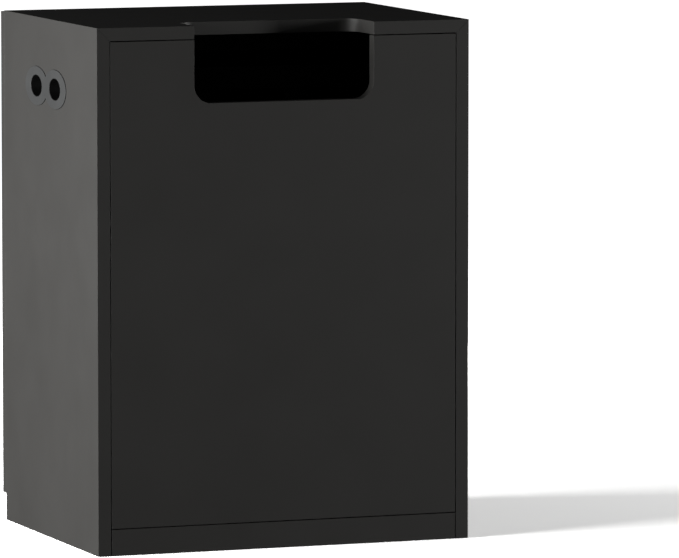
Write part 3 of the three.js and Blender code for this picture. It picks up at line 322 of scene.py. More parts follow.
def hexagon(across_flats):
    sixth = math.pi / 3
    return lambda angle: across_flats / 2 / math.cos(angle % sixth - sixth / 2)


# Outline of a cross recess with arms of this reach and half-width.
def cross(arm, half):
    quarter = math.pi / 2

    def radius(angle):
        turn = abs((angle + quarter / 2) % quarter - quarter / 2)
        return min(arm / math.cos(turn), half / max(math.sin(turn), half / arm / 2))
    return radius


# A solid plate: an outline in the plane square to Z, between two heights.
def add_plate(bm, outline, low, high):
    bottom = [bm.verts.new((x, y, low)) for x, y in outline]
    top = [bm.verts.new((x, y, high)) for x, y in outline]
    bm.faces.new(bottom[::-1])
    bm.faces.new(top)
    for step in range(len(outline)):
        after = (step + 1) % len(outline)
        bm.faces.new((bottom[step], bottom[after], top[after], top[step]))


# Hexagon bolt head on its washer, standing on the surface at this point.
def add_bolt(bm, at, axis, across=8):
    washer = 0.14 * across
    top = washer + 0.55 * across
    rings = [(0.98 * across, 0), (0.98 * across, washer * 0.7), (0.92 * across, washer)]
    add_turned(bm, at, axis, rings)
    flats, crown = hexagon(across), 0.46 * across
    rings = [(flats, washer), (flats, top - 0.08 * across), (crown, top), (0.3 * across, top)]
    add_turned(bm, at, axis, rings)


# Pan-head screw with a cross recess, standing on the surface at this point.
def add_screw(bm, at, axis, radius=4.0, proud=2.2):
    recess = cross(0.56 * radius, 0.15 * radius)
    rings = [(radius, 0), (radius, 0.3 * proud), (0.93 * radius, 0.65 * proud),
             (0.75 * radius, 0.93 * proud), (0.62 * radius, proud), (recess, proud),
             (recess, 0.35 * proud), (0.1 * radius, 0.2 * proud)]
    add_turned(bm, at, axis, rings, sides=32)


def smooth(mesh, sharp):
    mesh.shade_smooth()
    mesh.set_sharp_from_angle(angle=math.radians(sharp))


# Turns a mesh drawn in millimetres into a piece that rides on a body. Its edges are rounded to the
# bevel's width. Without a bevel, they look sharp where they turn by more than this many degrees.
def piece(name, bm, body, slot, replaced=(), bevel=0.0, sharp=32):
    bmesh.ops.remove_doubles(bm, verts=bm.verts, dist=0.001)
    bmesh.ops.recalc_face_normals(bm, faces=bm.faces)
    bmesh.ops.scale(bm, vec=(1 / MM,) * 3, verts=bm.verts)
    mesh = bpy.data.meshes.new(name)
    bm.to_mesh(mesh)
    bm.free()
    mesh.materials.append(FINISHES[slot])
    made = bpy.data.objects.new(name, mesh)
    scene.collection.objects.link(made)
    if bevel:
        soften(made, bevel)
        mesh.shade_smooth()
    else:
        smooth(mesh, sharp)
    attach(made, body)
    if replaced:
        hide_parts(*replaced)


# Rounds an object's edges to this width in millimetres, and keeps its flat faces evenly shaded.
def soften(made, width):
    bevel = made.modifiers.new("edges", "BEVEL")
    bevel.width = width / MM
    bevel.segments = 2
    bevel.limit_method = "ANGLE"
    bevel.angle_limit = math.radians(SOFTENED_ANGLE)
    bevel.use_clamp_overlap = True
    even = made.modifiers.new("even_shading", "WEIGHTED_NORMAL")
    even.weight = FLATTEST
    even.keep_sharp = False


# A CAD node's own shape with its flat faces whole and its edges rounded to this radius.
def refine(name, width):
    bm = bmesh.new()
    bm.from_mesh(nodes[name].data)
    bmesh.ops.remove_doubles(bm, verts=bm.verts, dist=WELD)
    bmesh.ops.dissolve_limit(bm, angle_limit=math.radians(FLAT_ANGLE), verts=bm.verts, edges=bm.edges)
    mesh = bpy.data.meshes.new(name + "_finished")
    bm.to_mesh(mesh)
    bm.free()
    mesh.materials.append(FINISHES[SLOT_OF[name]])
    made = bpy.data.objects.new(name + "_finished", mesh)
    scene.collection.objects.link(made)
    mesh.shade_smooth()
    soften(made, width)
    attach(made, BODY_OF[name])
    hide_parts(name)


# ---- Cabinet and drawer front ----

# The CAD nodes whose own shape shows with rounded edges, and the edges' radius in millimetres. The
# other nodes show as they are, or a piece made below stands for them.
EDGE_RADII = {
    "left_side_panel": 0.25, "right_side_panel": 0.25, "top_panel": 0.25, "bottom_panel": 0.25,
    "back_panel": 0.4, "drawer_front": 0.25, "front_plinth_rail": 0.25, "rear_plinth_rail": 0.25,
    "port_surround": 0.5, "filter_housing": 0.3, "filter_cartridge": 0.5, "control_console": 1.2,
    "control_box": 1.5, "mains_inlet": 0.4, "container": 0.8, "bag_retainer": 1.2, "drawer_carrier": 0.8,
    "ram_plate": 0.8, "ram_beam": 0.8, "left_ram_leg": 0.8, "right_ram_leg": 0.8,
    "left_front_post": 0.6, "right_front_post": 0.6, "left_rear_post": 0.6, "right_rear_post": 0.6,
    "left_top_rail": 0.4, "right_top_rail": 0.4, "top_crossmember": 0.8, "base_plate": 0.4,
    "left_front_stiffener": 0.4, "right_front_stiffener": 0.4, "motor_bracket": 0.8,
    "left_lower_bearing": 0.4, "right_lower_bearing": 0.4, "left_upper_bearing": 0.4,
    "right_upper_bearing": 0.4, "left_power_nut": 0.4, "right_power_nut": 0.4,
    "left_outer_slide": 0.3, "right_outer_slide": 0.3, "left_middle_slide": 0.3,
    "right_middle_slide": 0.3, "left_inner_slide": 0.3, "right_inner_slide": 0.3, "gearbox": 1.5,
}


# The vent ports: their outer length and height, and the distance between their middles.
PORT_LENGTH = 54
PORT_HEIGHT = 34
PORT_SPACING = 89
PORT_SIDES = 64


# An oval band round X: its middle, half-sizes, ends along X and thickness, measured inwards.
def add_band(bm, y, z, half_y, half_z, outer_x, inner_x, thickness):
    loops = []
    for x, inset in ((outer_x, 0), (inner_x, 0), (inner_x, thickness), (outer_x, thickness)):
        loop = []
        for step in range(PORT_SIDES):
            angle = 2 * math.pi * step / PORT_SIDES
            loop.append(bm.verts.new((x, y + (half_y - inset) * math.sin(angle),
                                      z + (half_z - inset) * math.cos(angle))))
        loops.append(loop)
    for first, second in zip(loops, loops[1:] + loops[:1]):
        for step in range(PORT_SIDES):
            after = (step + 1) % PORT_SIDES
            bm.faces.new((first[step], first[after], second[after], second[step]))


# Painted shade: black bands inside the vent ports, and round the surround's edge under its face, where the
# bores and the gap round the surround lie in shade.
def make_port_painted_shade():
    low, high, middle = corners("port_surround")
    lining, lining_sunk = 0.5, 0.5
    ring, ring_proud, ring_from, ring_to = 1.5, 0.15, 0.3, 1.6
    bm = bmesh.new()
    bands = ((PORT_LENGTH / 2, PORT_HEIGHT / 2, low.x + lining_sunk, high.x, lining),
             ((high.y - low.y - PORT_SPACING) / 2 + ring_proud, (high.z - low.z) / 2 + ring_proud,
              low.x + ring_from, low.x + ring_to, ring))
    for band in bands:
        for y in (middle.y - PORT_SPACING / 2, middle.y + PORT_SPACING / 2):
            add_band(bm, y, middle.z, *band)
    # Painted shade, drawn in the lead sheath's black finish.
    piece("port_painted_shade", bm, "cabinet", "lead_sheath")


# Screws that hold the back panel to the boards, near its edges.
def make_back_screws():
    low, high, _ = corners("back_panel")
    inset, top_inset, sunk = 10, 12, 0.3
    across, up = 4, 6
    spots = []
    for step in range(across + 1):
        x = low.x + inset + (high.x - low.x - 2 * inset) * step / across
        spots += [(x, low.z + inset), (x, high.z - top_inset)]
    for step in range(1, up):
        z = low.z + (high.z - low.z) * step / up
        spots += [(low.x + inset, z), (high.x - inset, z)]
    bm = bmesh.new()
    for x, z in spots:
        add_screw(bm, (x, high.y - sunk, z), (0, 1, 0), radius=3.6, proud=0.8)
    piece("back_panel_screws", bm, "cabinet", "zinc")


# Flat blades in the mains inlet, and the screws in its lugs.
def make_inlet_fittings():
    low, high, middle = corners("mains_inlet")
    blades = ((-7, -2.5), (7, -2.5), (0, 3))
    half_thickness, half_width, root, tip_sunk = 1, 2, 2.5, 5
    screw_inset, screw_sunk = 5, 0.4
    bm = bmesh.new()
    for x, z in blades:
        start = (middle.x + x - half_thickness, low.y + root, middle.z + z - half_width)
        end = (middle.x + x + half_thickness, high.y - tip_sunk, middle.z + z + half_width)
        add_block(bm, start, end)
    piece("inlet_blades", bm, "cabinet", "machined_steel", bevel=0.4)
    bm = bmesh.new()
    for x in (low.x + screw_inset, high.x - screw_inset):
        add_screw(bm, (x, high.y - screw_sunk, middle.z), (0, 1, 0), radius=2.8, proud=1.0)
    piece("inlet_screws", bm, "cabinet", "zinc")


# ---- Controls ----

# A push button's cap, dished where the finger presses.
def make_button(name):
    low, high, middle = corners(name)
    radius = (high.z - low.z) / 2
    depth = high.x - low.x
    bm = bmesh.new()
    rings = [(radius - 0.4, 0), (radius, 0.4), (radius, depth - 1.2), (radius - 0.3, depth - 0.5),
             (radius - 1.1, depth), (radius - 2.0, depth - 0.1), (radius - 4.0, depth - 0.55),
             (0.2, depth - 0.8)]
    add_turned(bm, (low.x, middle.y, middle.z), (1, 0, 0), rings, sides=48)
    piece(name + "_cap", bm, BODY_OF[name], SLOT_OF[name], [name], sharp=40)


KEY_SLOT_HALF_WIDTH = 1.2
KEY_SLOT_HALF_LENGTH = 4.6
KEY_SLOT_REACH = 4.7


# Outline of the slot for the key, as a radius at each angle.
def key_slot(angle):
    width = KEY_SLOT_HALF_WIDTH / max(abs(math.sin(angle)), 0.1)
    length = KEY_SLOT_HALF_LENGTH / max(abs(math.cos(angle)), 0.1)
    return min(width, length, KEY_SLOT_REACH)


# Key barrel: a turned face with a raised rim and a slot for the key.
def make_key_barrel():
    low, high, middle = corners("key_switch")
    radius = (high.z - low.z) / 2
    depth = high.x - low.x
    rings = [(radius - 0.4, 0), (radius, 0.4), (radius, depth - 1.6), (radius - 0.5, depth - 0.8),
             (radius - 1.2, depth - 0.8), (radius - 1.5, depth - 0.2), (radius - 1.9, depth),
             (key_slot, depth), (key_slot, depth - 3), (0.2, depth - 3)]
    bm = bmesh.new()
    add_turned(bm, (low.x, middle.y, middle.z), (1, 0, 0), rings, sides=64)
    piece("key_barrel_face", bm, BODY_OF["key_switch"], "zinc", ["key_switch"], sharp=30)


# Rings round the buttons and the key, and the screws at the console's corners.
def make_console_bezels():
    low, high, _ = corners("control_console")
    screw_inset_y, screw_inset_z = 7, 6
    bm = bmesh.new()
    for name in ("start_button", "stop_button", "key_switch"):
        bottom, top, centre = corners(name)
        radius = (top.z - bottom.z) / 2
        rings = [(radius + 0.45, -0.4), (radius + 1.35, -0.4), (radius + 1.3, 0.5), (radius + 1.0, 0.9),
                 (radius + 0.7, 0.9), (radius + 0.45, 0.6)]
        add_turned(bm, (high.x, centre.y, centre.z), (1, 0, 0), rings, sides=48, closed=True)
    piece("console_bezels", bm, "cabinet", "zinc")
    bm = bmesh.new()
    for y in (low.y + screw_inset_y, high.y - screw_inset_y):
        for z in (low.z + screw_inset_z, high.z - screw_inset_z):
            add_screw(bm, (high.x, y, z), (1, 0, 0), radius=2.2, proud=1.1)
    piece("console_screws", bm, "cabinet", "zinc")


# Lid, cooling louvres and lid screws of the control box, on its front face.
def make_control_box_lid():
    low, high, middle = corners("control_box")
    lid, lid_inset, screw_inset = 2.2, 3, 9
    louvres, first_louvre, louvre_spacing, louvre_height, louvre_reach = 7, 14, 8, 3, 38
    louvre_proud, louvre_root = 3.4, 2.1
    bm = bmesh.new()
    add_block(bm, (low.x + lid_inset, low.y - lid, low.z + lid_inset),
              (high.x - lid_inset, low.y, high.z - lid_inset))
    for step in range(louvres):
        z = middle.z + first_louvre + step * louvre_spacing
        add_block(bm, (middle.x - louvre_reach, low.y - louvre_proud, z),
                  (middle.x + louvre_reach, low.y - louvre_root, z + louvre_height))
    piece("control_box_lid", bm, "cabinet", "housing_plastic", bevel=0.5)
    bm = bmesh.new()
    for x in (low.x + screw_inset, high.x - screw_inset):
        for z in (low.z + screw_inset, high.z - screw_inset):
            add_screw(bm, (x, low.y - lid, z), (0, -1, 0), radius=3.2, proud=1.8)
    piece("control_box_screws", bm, "cabinet", "zinc")


# ---- Leads ----

# Routes in millimetres: the points that each lead passes through, from gland to gland.
LEAD_ROUTES = {
    "control_lead": [(-237.4, -155.5, 757.7), (-237.4, -131.5, 757.7), (-206.4, -86.9, 741),
                     (-206.4, -6.9, 741), (-206.4, 73.1, 773), (-206.4, 129.5, 773), (-126.4, 209.5, 773),
                     (80.6, 209.5, 773), (160.6, 209.5, 693), (160.6, 189, 504), (160.6, 189, 480.3)],
    "motor_lead": [(95.3, 189, 345), (83.6, 189, 345), (37.8, 166.5, 290.8), (25.8, 166.5, 248.6),
                   (25.8, 166.5, 236.9)],
    "mains_lead": [(160.6, 208.9, 130), (160.6, 197.2, 130), (160.6, 177, 215), (160.6, 189, 288),
                   (160.6, 189, 299.7)],
}
# Length of the curve's tangents: inside the route as a share of the span over a point, and at its
# ends as a share of the last stretch.
LEAD_TENSION = 0.3
LEAD_SHARE = 0.6
LEAD_DIAMETER = 0.006
# Each clip: the point on its lead, the direction the lead runs, and the direction of its foot.
CLIPS = [((-206.4, -46.9, 741), (0, 1, 0), (0, 0, 1)), ((-206.4, 108, 773.4), (0, 1, 0), (0, 0, 1)),
         ((-80, 209.5, 773), (1, 0, 0), (0, 1, 0)), ((30, 209.5, 773), (1, 0, 0), (0, 1, 0)),
         ((160.6, 208.6, 670), (0, 0, 1), (0, 1, 0))]


# A sheathed lead on one smooth curve through its route's points.
def make_lead(name, points):
    points = [Vector(metres(point)) for point in points]
    first = (points[1] - points[0]) * LEAD_SHARE
    last = (points[-1] - points[-2]) * LEAD_SHARE
    middle = [(after - before) * LEAD_TENSION for before, after in zip(points, points[2:])]
    tangents = [first, *middle, last]
    curve = bpy.data.curves.new(name + "_sheath", "CURVE")
    curve.dimensions = "3D"
    curve.bevel_depth = LEAD_DIAMETER / 2
    curve.bevel_resolution = 4
    curve.resolution_u = 16
    curve.use_fill_caps = True
    spline = curve.splines.new("BEZIER")
    spline.bezier_points.add(len(points) - 1)
    for knot, point, tangent in zip(spline.bezier_points, points, tangents):
        knot.handle_left_type = knot.handle_right_type = "FREE"
        knot.co = point
        knot.handle_left = point - tangent / 3
        knot.handle_right = point + tangent / 3
    curve.materials.append(FINISHES["lead_sheath"])
    lead = bpy.data.objects.new(name + "_sheath", curve)
    scene.collection.objects.link(lead)
    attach(lead, "cabinet")
    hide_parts(name)


# Glands where the leads enter their boxes: a hexagon nut and a tapered collar round the sheath.
def make_glands():
    bm = bmesh.new()
    radius = LEAD_DIAMETER * MM / 2
    nut = hexagon(11)
    ends = [(route[0], route[1]) for route in LEAD_ROUTES.values()]
    ends += [(route[-1], route[-2]) for route in LEAD_ROUTES.values()]
    for end, inside in ends:
        axis = Vector(inside) - Vector(end)
        rings = [(radius + 0.1, -0.2), (nut, -0.2), (nut, 3.2), (radius + 1.6, 3.6),
                 (radius + 1.4, 6.4), (radius + 0.8, 7.2), (radius + 0.1, 7.2)]
        add_turned(bm, end, axis, rings, sides=36, closed=True)
    piece("lead_glands", bm, "cabinet", "housing_plastic")


# Clips that hold the leads to the boards: a loop round the sheath, a foot beside it and a screw.
def make_clips():
    bm = bmesh.new()
    radius = LEAD_DIAMETER * MM / 2
    half, foot_near, foot_far, foot_length, screw_out = 4, 0.3, 1.3, 9, 5
    for at, along, foot in CLIPS:
        at, along, foot = Vector(at), Vector(along), Vector(foot)
        side = along.cross(foot)
        rings = [(radius + 0.1, -half), (radius + 1.0, -half), (radius + 1.0, half), (radius + 0.1, half)]
        add_turned(bm, at, along, rings, sides=24, closed=True)
        low = at - along * half + side * radius + foot * (radius + foot_near)
        high = at + along * half + side * (radius + foot_length) + foot * (radius + foot_far)
        add_block(bm, [min(a, b) for a, b in zip(low, high)], [max(a, b) for a, b in zip(low, high)])
        screw = at + side * (radius + screw_out) + foot * (radius + foot_near)
        add_screw(bm, screw, -foot, radius=2.4, proud=1.6)
    piece("lead_clips", bm, "cabinet", "zinc")


# ---- Drive ----

THREAD_PITCH = 5
THREAD_STARTS = 2
THREAD_DEPTH = 2.4
THREAD_BOTTOM = 50.3
THREAD_TOP = 737.7
# The plain ends run in the bearings. They are this much smaller than the thread in radius.
JOURNAL_STEP = 2


# A double-start trapezoidal screw. Rows of vertices follow the thread's four edges up the shaft. An
# edge is its place as a share of the pitch, and its radius.
def make_power_screw(side):
    name = side + "_power_screw"
    low, high, middle = corners(name)
    radius = (high.x - low.x) / 2
    journal, root = radius - JOURNAL_STEP, radius - THREAD_DEPTH
    sides = 32
    edges = [(0.0, root), (0.14, radius), (0.5, radius), (0.64, root)]
    turns = int((THREAD_TOP - THREAD_BOTTOM) / THREAD_PITCH) + 2 * THREAD_STARTS + 2
    bm = bmesh.new()
    columns = []
    for step in range(sides + 1):
        climb = THREAD_STARTS * THREAD_PITCH * (step / sides - 1)
        angle = 2 * math.pi * step / sides
        column = []
        for turn in range(turns):
            for share, reach in edges:
                z = THREAD_BOTTOM + (turn - 1 + share) * THREAD_PITCH + climb
                if not THREAD_BOTTOM < z < THREAD_TOP:
                    reach = journal
                x, y = middle.x + reach * math.cos(angle), middle.y + reach * math.sin(angle)
                column.append(bm.verts.new((x, y, min(max(z, THREAD_BOTTOM), THREAD_TOP))))
        columns.append(column)
    for this, after in zip(columns, columns[1:]):
        for row in range(len(this) - 1):
            bm.faces.new((this[row], after[row], after[row + 1], this[row + 1]))
    bm.faces.new([column[0] for column in columns[:-1]])
    bm.faces.new([column[-1] for column in columns[:-1]])
    for start, end in ((low.z, THREAD_BOTTOM), (THREAD_TOP, high.z)):
        rings = [(journal - 0.6, start), (journal, start + 0.6), (journal, end - 0.6), (journal - 0.6, end)]
        add_turned(bm, (middle.x, middle.y, 0), (0, 0, 1), rings, sides=sides)
    piece(name + "_thread", bm, BODY_OF[name], "machined_steel", [name], sharp=24)


# Roller chain: its pitch, the height of its middle and its rollers' radius.
CHAIN_PITCH = 9.525
CHAIN_MIDDLE = 55.5
ROLLER = 3.2
# Each sprocket's teeth and the radius of its bore, in anticlockwise order seen from above.
SPROCKETS = {"left_screw_sprocket": (20, 8.2), "right_screw_sprocket": (20, 8.2),
             "motor_sprocket": (10, 6.2)}


# The chain's route round the wheels, as curved and straight stretches. A wheel is its centre's x and
# y and its radius. An arc is its centre, radius, first angle and length, and a line is its two ends
# and length.
def belt(wheels):
    stretches = []
    count = len(wheels)
    leaving = []
    for step in range(count):
        (x0, y0, r0), (x1, y1, r1) = wheels[step], wheels[(step + 1) % count]
        dx, dy = x1 - x0, y1 - y0
        span = math.hypot(dx, dy)
        lean = math.asin((r0 - r1) / span)
        leaving.append(math.atan2(dy, dx) - math.pi / 2 + lean)
    for step in range(count):
        x0, y0, r0 = wheels[step]
        x1, y1, r1 = wheels[(step + 1) % count]
        out = leaving[step]
        arrive = leaving[step - 1]
        sweep = (out - arrive) % (2 * math.pi)
        stretches.append(("arc", x0, y0, r0, arrive, r0 * sweep))
        start = (x0 + r0 * math.cos(out), y0 + r0 * math.sin(out))
        end = (x1 + r1 * math.cos(out), y1 + r1 * math.sin(out))
        stretches.append(("line", *start, *end, math.dist(start, end)))
    return stretches


# The point at this distance along the route.
def belt_point(stretches, distance):
    for kind, *sizes, length in stretches:
        if distance > length:
            distance -= length
        elif kind == "arc":
            x, y, radius, start = sizes
            angle = start + distance / radius
            return x + radius * math.cos(angle), y + radius * math.sin(angle)
        else:
            x0, y0, x1, y1 = sizes
            share = distance / length
            return x0 + (x1 - x0) * share, y0 + (y1 - y0) * share
    return belt_point(stretches, 0)


# One side plate of a link: round at both pins and waisted between them.
def link_outline(start, end, radius):
    angle = math.atan2(end[1] - start[1], end[0] - start[0])
    middle = ((start[0] + end[0]) / 2, (start[1] + end[1]) / 2)
    waist, steps = 0.66 * radius, 6
    outline = []
    for centre, turned in ((start, math.pi / 2), (end, -math.pi / 2)):
        for step in range(steps + 1):
            turn = angle + turned + math.pi * step / steps
            outline.append((centre[0] + radius * math.cos(turn), centre[1] + radius * math.sin(turn)))
        turn = angle + turned + math.pi
        outline.append((middle[0] + waist * math.cos(turn), middle[1] + waist * math.sin(turn)))
    return outline


# Links between these pins, by turns with their plates inside and outside the next link's.
def make_chain(pins):
    inner_plates, outer_plates, thickness, link_radius = 1.6, 2.4, 0.7, 3.9
    roller = [(ROLLER - 0.2, -1.5), (ROLLER, -1.3), (ROLLER, 1.3), (ROLLER - 0.2, 1.5)]
    pin = [(1.2, -3.2), (1.6, -3.0), (1.6, 3.0), (1.2, 3.2)]
    plates, rollers = bmesh.new(), bmesh.new()
    for step, (start, end) in enumerate(zip(pins, pins[1:] + pins[:1])):
        near = inner_plates if step % 2 else outer_plates
        for way in (-1, 1):
            low, high = sorted((CHAIN_MIDDLE + way * near, CHAIN_MIDDLE + way * (near + thickness)))
            add_plate(plates, link_outline(start, end, link_radius), low, high)
        add_turned(rollers, (*start, CHAIN_MIDDLE), (0, 0, 1), roller, sides=14)
        add_turned(rollers, (*start, CHAIN_MIDDLE), (0, 0, 1), pin, sides=10)
    piece("drive_chain_plates", plates, "cabinet", "machined_steel", ["drive_chain"])
    piece("drive_chain_rollers", rollers, "cabinet", "machined_steel")


# A sprocket's outline: round seats for the rollers, with teeth between them.
def tooth_profile(teeth, phase):
    pitch_radius = CHAIN_PITCH / 2 / math.sin(math.pi / teeth)
    step = 2 * math.pi / teeth
    tooth_height = 2.2

    def radius(angle):
        turn = (angle - phase + step / 2) % step - step / 2
        away = abs(pitch_radius * math.sin(turn))
        if away < ROLLER:
            return pitch_radius * math.cos(turn) - math.sqrt(ROLLER ** 2 - away ** 2)
        share = min(1.0, (away - ROLLER) / (CHAIN_PITCH / 2 - ROLLER))
        return pitch_radius + tooth_height * math.sqrt(share)
    return radius


# A toothed plate on a hub. The plate's edges are bevelled by half a millimetre in and out.
def make_sprocket(name, teeth, phase, bore):
    low, high, middle = corners(name)
    at = (middle.x, middle.y, 0)
    hub = max(bore + 4, 0.46 * CHAIN_PITCH * teeth / 2 / math.pi)
    outline = tooth_profile(teeth, phase)

    def shrunk(angle):
        return outline(angle) - 0.5

    bottom, top = CHAIN_MIDDLE - 1.4, CHAIN_MIDDLE + 1.4
    rings = [(bore, low.z), (hub, low.z), (hub, bottom), (shrunk, bottom), (outline, bottom + 0.5),
             (outline, top - 0.5), (shrunk, top), (hub, top), (hub, high.z - 0.5),
             (hub - 0.5, high.z), (bore, high.z)]
    bm = bmesh.new()
    add_turned(bm, at, (0, 0, 1), rings, sides=teeth * 12, closed=True)
    piece(name + "_teeth", bm, BODY_OF[name], SLOT_OF[name], [name], sharp=28)


# Chain, then sprockets turned so that a tooth gap holds each roller.
def make_chain_drive():
    wheels = []
    for name, (teeth, _) in SPROCKETS.items():
        middle = corners(name)[2]
        wheels.append((middle.x, middle.y, CHAIN_PITCH * teeth / 2 / math.pi))
    stretches = belt(wheels)
    total = sum(stretch[-1] for stretch in stretches)
    links = 2 * round(total / CHAIN_PITCH / 2)
    pins = [belt_point(stretches, total * step / links) for step in range(links)]
    make_chain(pins)
    for (x, y, radius), (name, (teeth, bore)) in zip(wheels, SPROCKETS.items()):
        close = min(pins, key=lambda pin: abs(math.dist(pin, (x, y)) - radius))
        make_sprocket(name, teeth, math.atan2(close[1] - y, close[0] - x), bore)


MOTOR_BOLT_CIRCLE = 37
NUT_BOLT_CIRCLE = 17


# Four places at the corners of a square on a circle of this radius.
def on_circle(middle, radius):
    angles = [math.radians(45 + 90 * step) for step in range(4)]
    return [(middle.x + radius * math.cos(angle), middle.y + radius * math.sin(angle))
            for angle in angles]


# Finned motor barrel between two end bells, with long bolts through them and a bearing nose on top.
def make_motor():
    low, high, middle = corners("motor")
    radius = (high.x - low.x) / 2
    at = (middle.x, middle.y, 0)
    nose, bell = 8, 20
    top = high.z - nose
    fins, fin_sunk, groove_sunk = 36, 1.4, 5.2

    def fin(angle):
        return radius - (fin_sunk if math.sin(fins * angle) > -0.2 else groove_sunk)

    bm = bmesh.new()
    add_turned(bm, at, (0, 0, 1), [(fin, low.z + bell), (fin, top - bell)], sides=fins * 8)
    lower = [(0.2, low.z), (radius - 2.5, low.z), (radius, low.z + 2.5), (radius, low.z + bell - 1.5),
             (radius - 1.0, low.z + bell), (0.2, low.z + bell)]
    upper = [(0.2, top - bell), (radius - 1.0, top - bell), (radius, top - bell + 1.5), (radius, top - 7),
             (radius - 2.4, top - 2.6), (radius - 7.5, top), (20, top), (17, top - 2.4), (13.5, top - 2.4),
             (12, top - 1.6), (12, top + 6.2), (10.2, top + 8), (0.2, top + 8)]
    for rings in (lower, upper):
        add_turned(bm, at, (0, 0, 1), rings, sides=64)
    through_bolt = [(4.2, low.z + 1), (4.6, low.z + 2), (4.6, top - 4), (4.2, top - 3)]
    spots = on_circle(middle, MOTOR_BOLT_CIRCLE)
    for x, y in spots:
        add_turned(bm, (x, y, 0), (0, 0, 1), through_bolt, sides=20)
    piece("motor_shell", bm, "cabinet", "motor_paint", ["motor"], sharp=35)
    bm = bmesh.new()
    for x, y in spots:
        add_bolt(bm, (x, y, top - 3), (0, 0, 1), across=6)
    piece("motor_bolts", bm, "cabinet", "zinc")


# Ribs down the gearbox's sides.
def make_gearbox_details():
    low, high, middle = corners("gearbox")
    half, proud, inset, spacing = 1.2, 1.4, 4, 11
    bm = bmesh.new()
    for turn in (-1, 1):
        for step in range(-2, 3):
            shift = step * spacing
            x, y = middle.x + turn * (high.x - middle.x), middle.y + turn * (high.y - middle.y)
            add_block(bm, (min(x, x + turn * proud), middle.y + shift - half, low.z + inset),
                      (max(x, x + turn * proud), middle.y + shift + half, high.z - inset))
            add_block(bm, (middle.x + shift - half, min(y, y + turn * proud), low.z + inset),
                      (middle.x + shift + half, max(y, y + turn * proud), high.z - inset))
    piece("gearbox_ribs", bm, "cabinet", "gearbox_alloy", bevel=0.4)


POST_BOLT_HEIGHTS = (75, 240, 420, 600)
DRAWER_SCREW_HEIGHTS = (180, 330, 480, 640)


# Bolts on flat faces: the motor bracket's feet, the bearings' corners and the posts. The upper
# bearings hang from their crossmember, so their bolts stand on their lower faces.
def make_frame_bolts():
    bm = bmesh.new()
    for name, inset_x, inset_y, top, across in (
            ("motor_bracket", 4.5, 8, True, 5.5),
            ("left_lower_bearing", 5, 5, True, 3.2), ("left_upper_bearing", 5, 5, False, 5.5),
            ("right_lower_bearing", 5, 5, True, 3.2), ("right_upper_bearing", 5, 5, False, 5.5)):
        low, high, _ = corners(name)
        z, up = (high.z, 1) if top else (low.z, -1)
        for x in (low.x + inset_x, high.x - inset_x):
            for y in (low.y + inset_y, high.y - inset_y):
                add_bolt(bm, (x, y, z), (0, 0, up), across=across)
    for side, way in SIDES.items():
        for place in ("front", "rear"):
            low, high, middle = corners(f"{side}_{place}_post")
            x = low.x if way > 0 else high.x
            for z in POST_BOLT_HEIGHTS:
                add_bolt(bm, (x, middle.y, z), (-way, 0, 0), across=7)
    piece("frame_bolts", bm, "cabinet", "zinc")


# Gussets between the ram's legs and its plate, the socket screws in the nuts and the plate's bolts.
def make_ram_details():
    _, plate, plate_middle = corners("ram_plate")
    foot, rise, lip, thickness = 46, 60, 6, 3
    gusset_front, gusset_rear = 13, 10
    bolt_x, bolt_y = 150, 100
    bm = bmesh.new()
    for side in SIDES:
        low, high, middle = corners(side + "_ram_leg")
        for turn in (-1, 1):
            x = high.x if turn > 0 else low.x
            outline = [(x, plate.z), (x + turn * foot, plate.z), (x + turn * foot, plate.z + lip),
                       (x + turn * lip, plate.z + rise), (x, plate.z + rise)]
            for y in (middle.y - gusset_front, middle.y + gusset_rear):
                front = [bm.verts.new((a, y, z)) for a, z in outline]
                back = [bm.verts.new((a, y + thickness, z)) for a, z in outline]
                bm.faces.new(front)
                bm.faces.new(back[::-1])
                for step in range(len(outline)):
                    after = (step + 1) % len(outline)
                    bm.faces.new((front[after], front[step], back[step], back[after]))
    piece("ram_gussets", bm, "ram", "frame_paint", bevel=0.5)
    socket = hexagon(2)
    socket_screw = [(2.2, 0), (2.2, 1.6), (1.9, 2.0), (socket, 2.0), (socket, 1.0), (0.2, 1.0)]
    bm = bmesh.new()
    for side in SIDES:
        _, high, middle = corners(side + "_power_nut")
        for x, y in on_circle(middle, NUT_BOLT_CIRCLE):
            add_turned(bm, (x, y, high.z), (0, 0, 1), socket_screw)
    for x in (plate_middle.x - bolt_x, plate_middle.x + bolt_x):
        for y in (plate_middle.y - bolt_y, plate_middle.y + bolt_y):
            add_bolt(bm, (x, y, plate.z), (0, 0, 1))
    piece("ram_bolts", bm, "ram", "zinc")


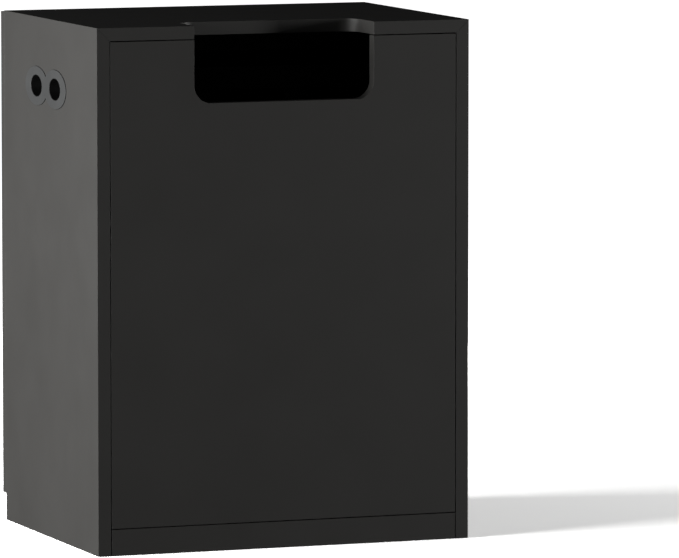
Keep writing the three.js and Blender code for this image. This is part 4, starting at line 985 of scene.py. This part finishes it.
# Moulded ribs on the container's outer walls: upright ones, and two bands round its rim.
def make_container_ribs():
    low, high, middle = corners("container")
    proud, sunk, half = 1.6, 1, 2.2
    bottom, top = 165, high.z - 26
    side_ribs, side_spacing = 6, 48
    back_ribs, back_spacing = 7, 50
    corner, band = 26, 4
    walls = ((low.x - proud, low.x + sunk), (high.x - sunk, high.x + proud))
    back = (high.y - sunk, high.y + proud)
    bm = bmesh.new()
    for step in range(side_ribs):
        y = middle.y + (step - (side_ribs - 1) / 2) * side_spacing
        for x0, x1 in walls:
            add_block(bm, (x0, y - half, bottom), (x1, y + half, top))
    for step in range(back_ribs):
        x = middle.x + (step - (back_ribs - 1) / 2) * back_spacing
        add_block(bm, (x - half, back[0], bottom), (x + half, back[1], top))
    for z in (top + 4, high.z - 8):
        for x0, x1 in walls:
            add_block(bm, (x0, low.y + corner, z), (x1, high.y - corner, z + band))
        add_block(bm, (low.x + corner, back[0], z), (high.x - corner, back[1], z + band))
    piece("container_ribs", bm, "drawer", "bin_plastic", bevel=0.6)


# Steel balls between the middle slides' rails and the inner and outer ones.
def make_slide_balls():
    balls, first, spacing, radius, inset = 24, 8, 15, 1.1, 1.2
    bm = bmesh.new()
    for side in SIDES:
        low, high, middle = corners(side + "_middle_slide")
        for z in (low.z + inset, high.z - inset):
            for step in range(balls):
                at = Vector((middle.x, low.y + first + step * spacing, z))
                ball = bmesh.ops.create_icosphere(bm, subdivisions=2, radius=radius)["verts"]
                bmesh.ops.translate(bm, vec=at, verts=ball)
    piece("slide_balls", bm, "slide_middles", "machined_steel", sharp=60)


# Screws through the drawer's stiffeners into the back of the drawer front.
def make_drawer_screws():
    flange_depth = 20.5
    bm = bmesh.new()
    for side in SIDES:
        _, high, middle = corners(side + "_front_stiffener")
        for z in DRAWER_SCREW_HEIGHTS:
            add_screw(bm, (middle.x, high.y - flange_depth, z), (0, 1, 0), radius=3.6, proud=2.0)
    piece("drawer_screws", bm, "drawer", "zinc")


# Every CAD node takes its slot's finish first. The pieces that stand for some of them follow.
def make_everything():
    make_camera()
    make_studio()
    for name, made in nodes.items():
        made.data.materials.clear()
        made.data.materials.append(FINISHES[SLOT_OF[name]])
    for name, radius in EDGE_RADII.items():
        refine(name, radius)
    make_port_painted_shade()
    make_back_screws()
    make_inlet_fittings()
    make_button("start_button")
    make_button("stop_button")
    make_key_barrel()
    make_console_bezels()
    make_control_box_lid()
    for name, points in LEAD_ROUTES.items():
        make_lead(name, points)
    make_glands()
    make_clips()
    for side in SIDES:
        make_power_screw(side)
    make_chain_drive()
    make_motor()
    make_gearbox_details()
    make_frame_bolts()
    make_ram_details()
    make_container_ribs()
    make_slide_balls()
    make_drawer_screws()


make_everything()
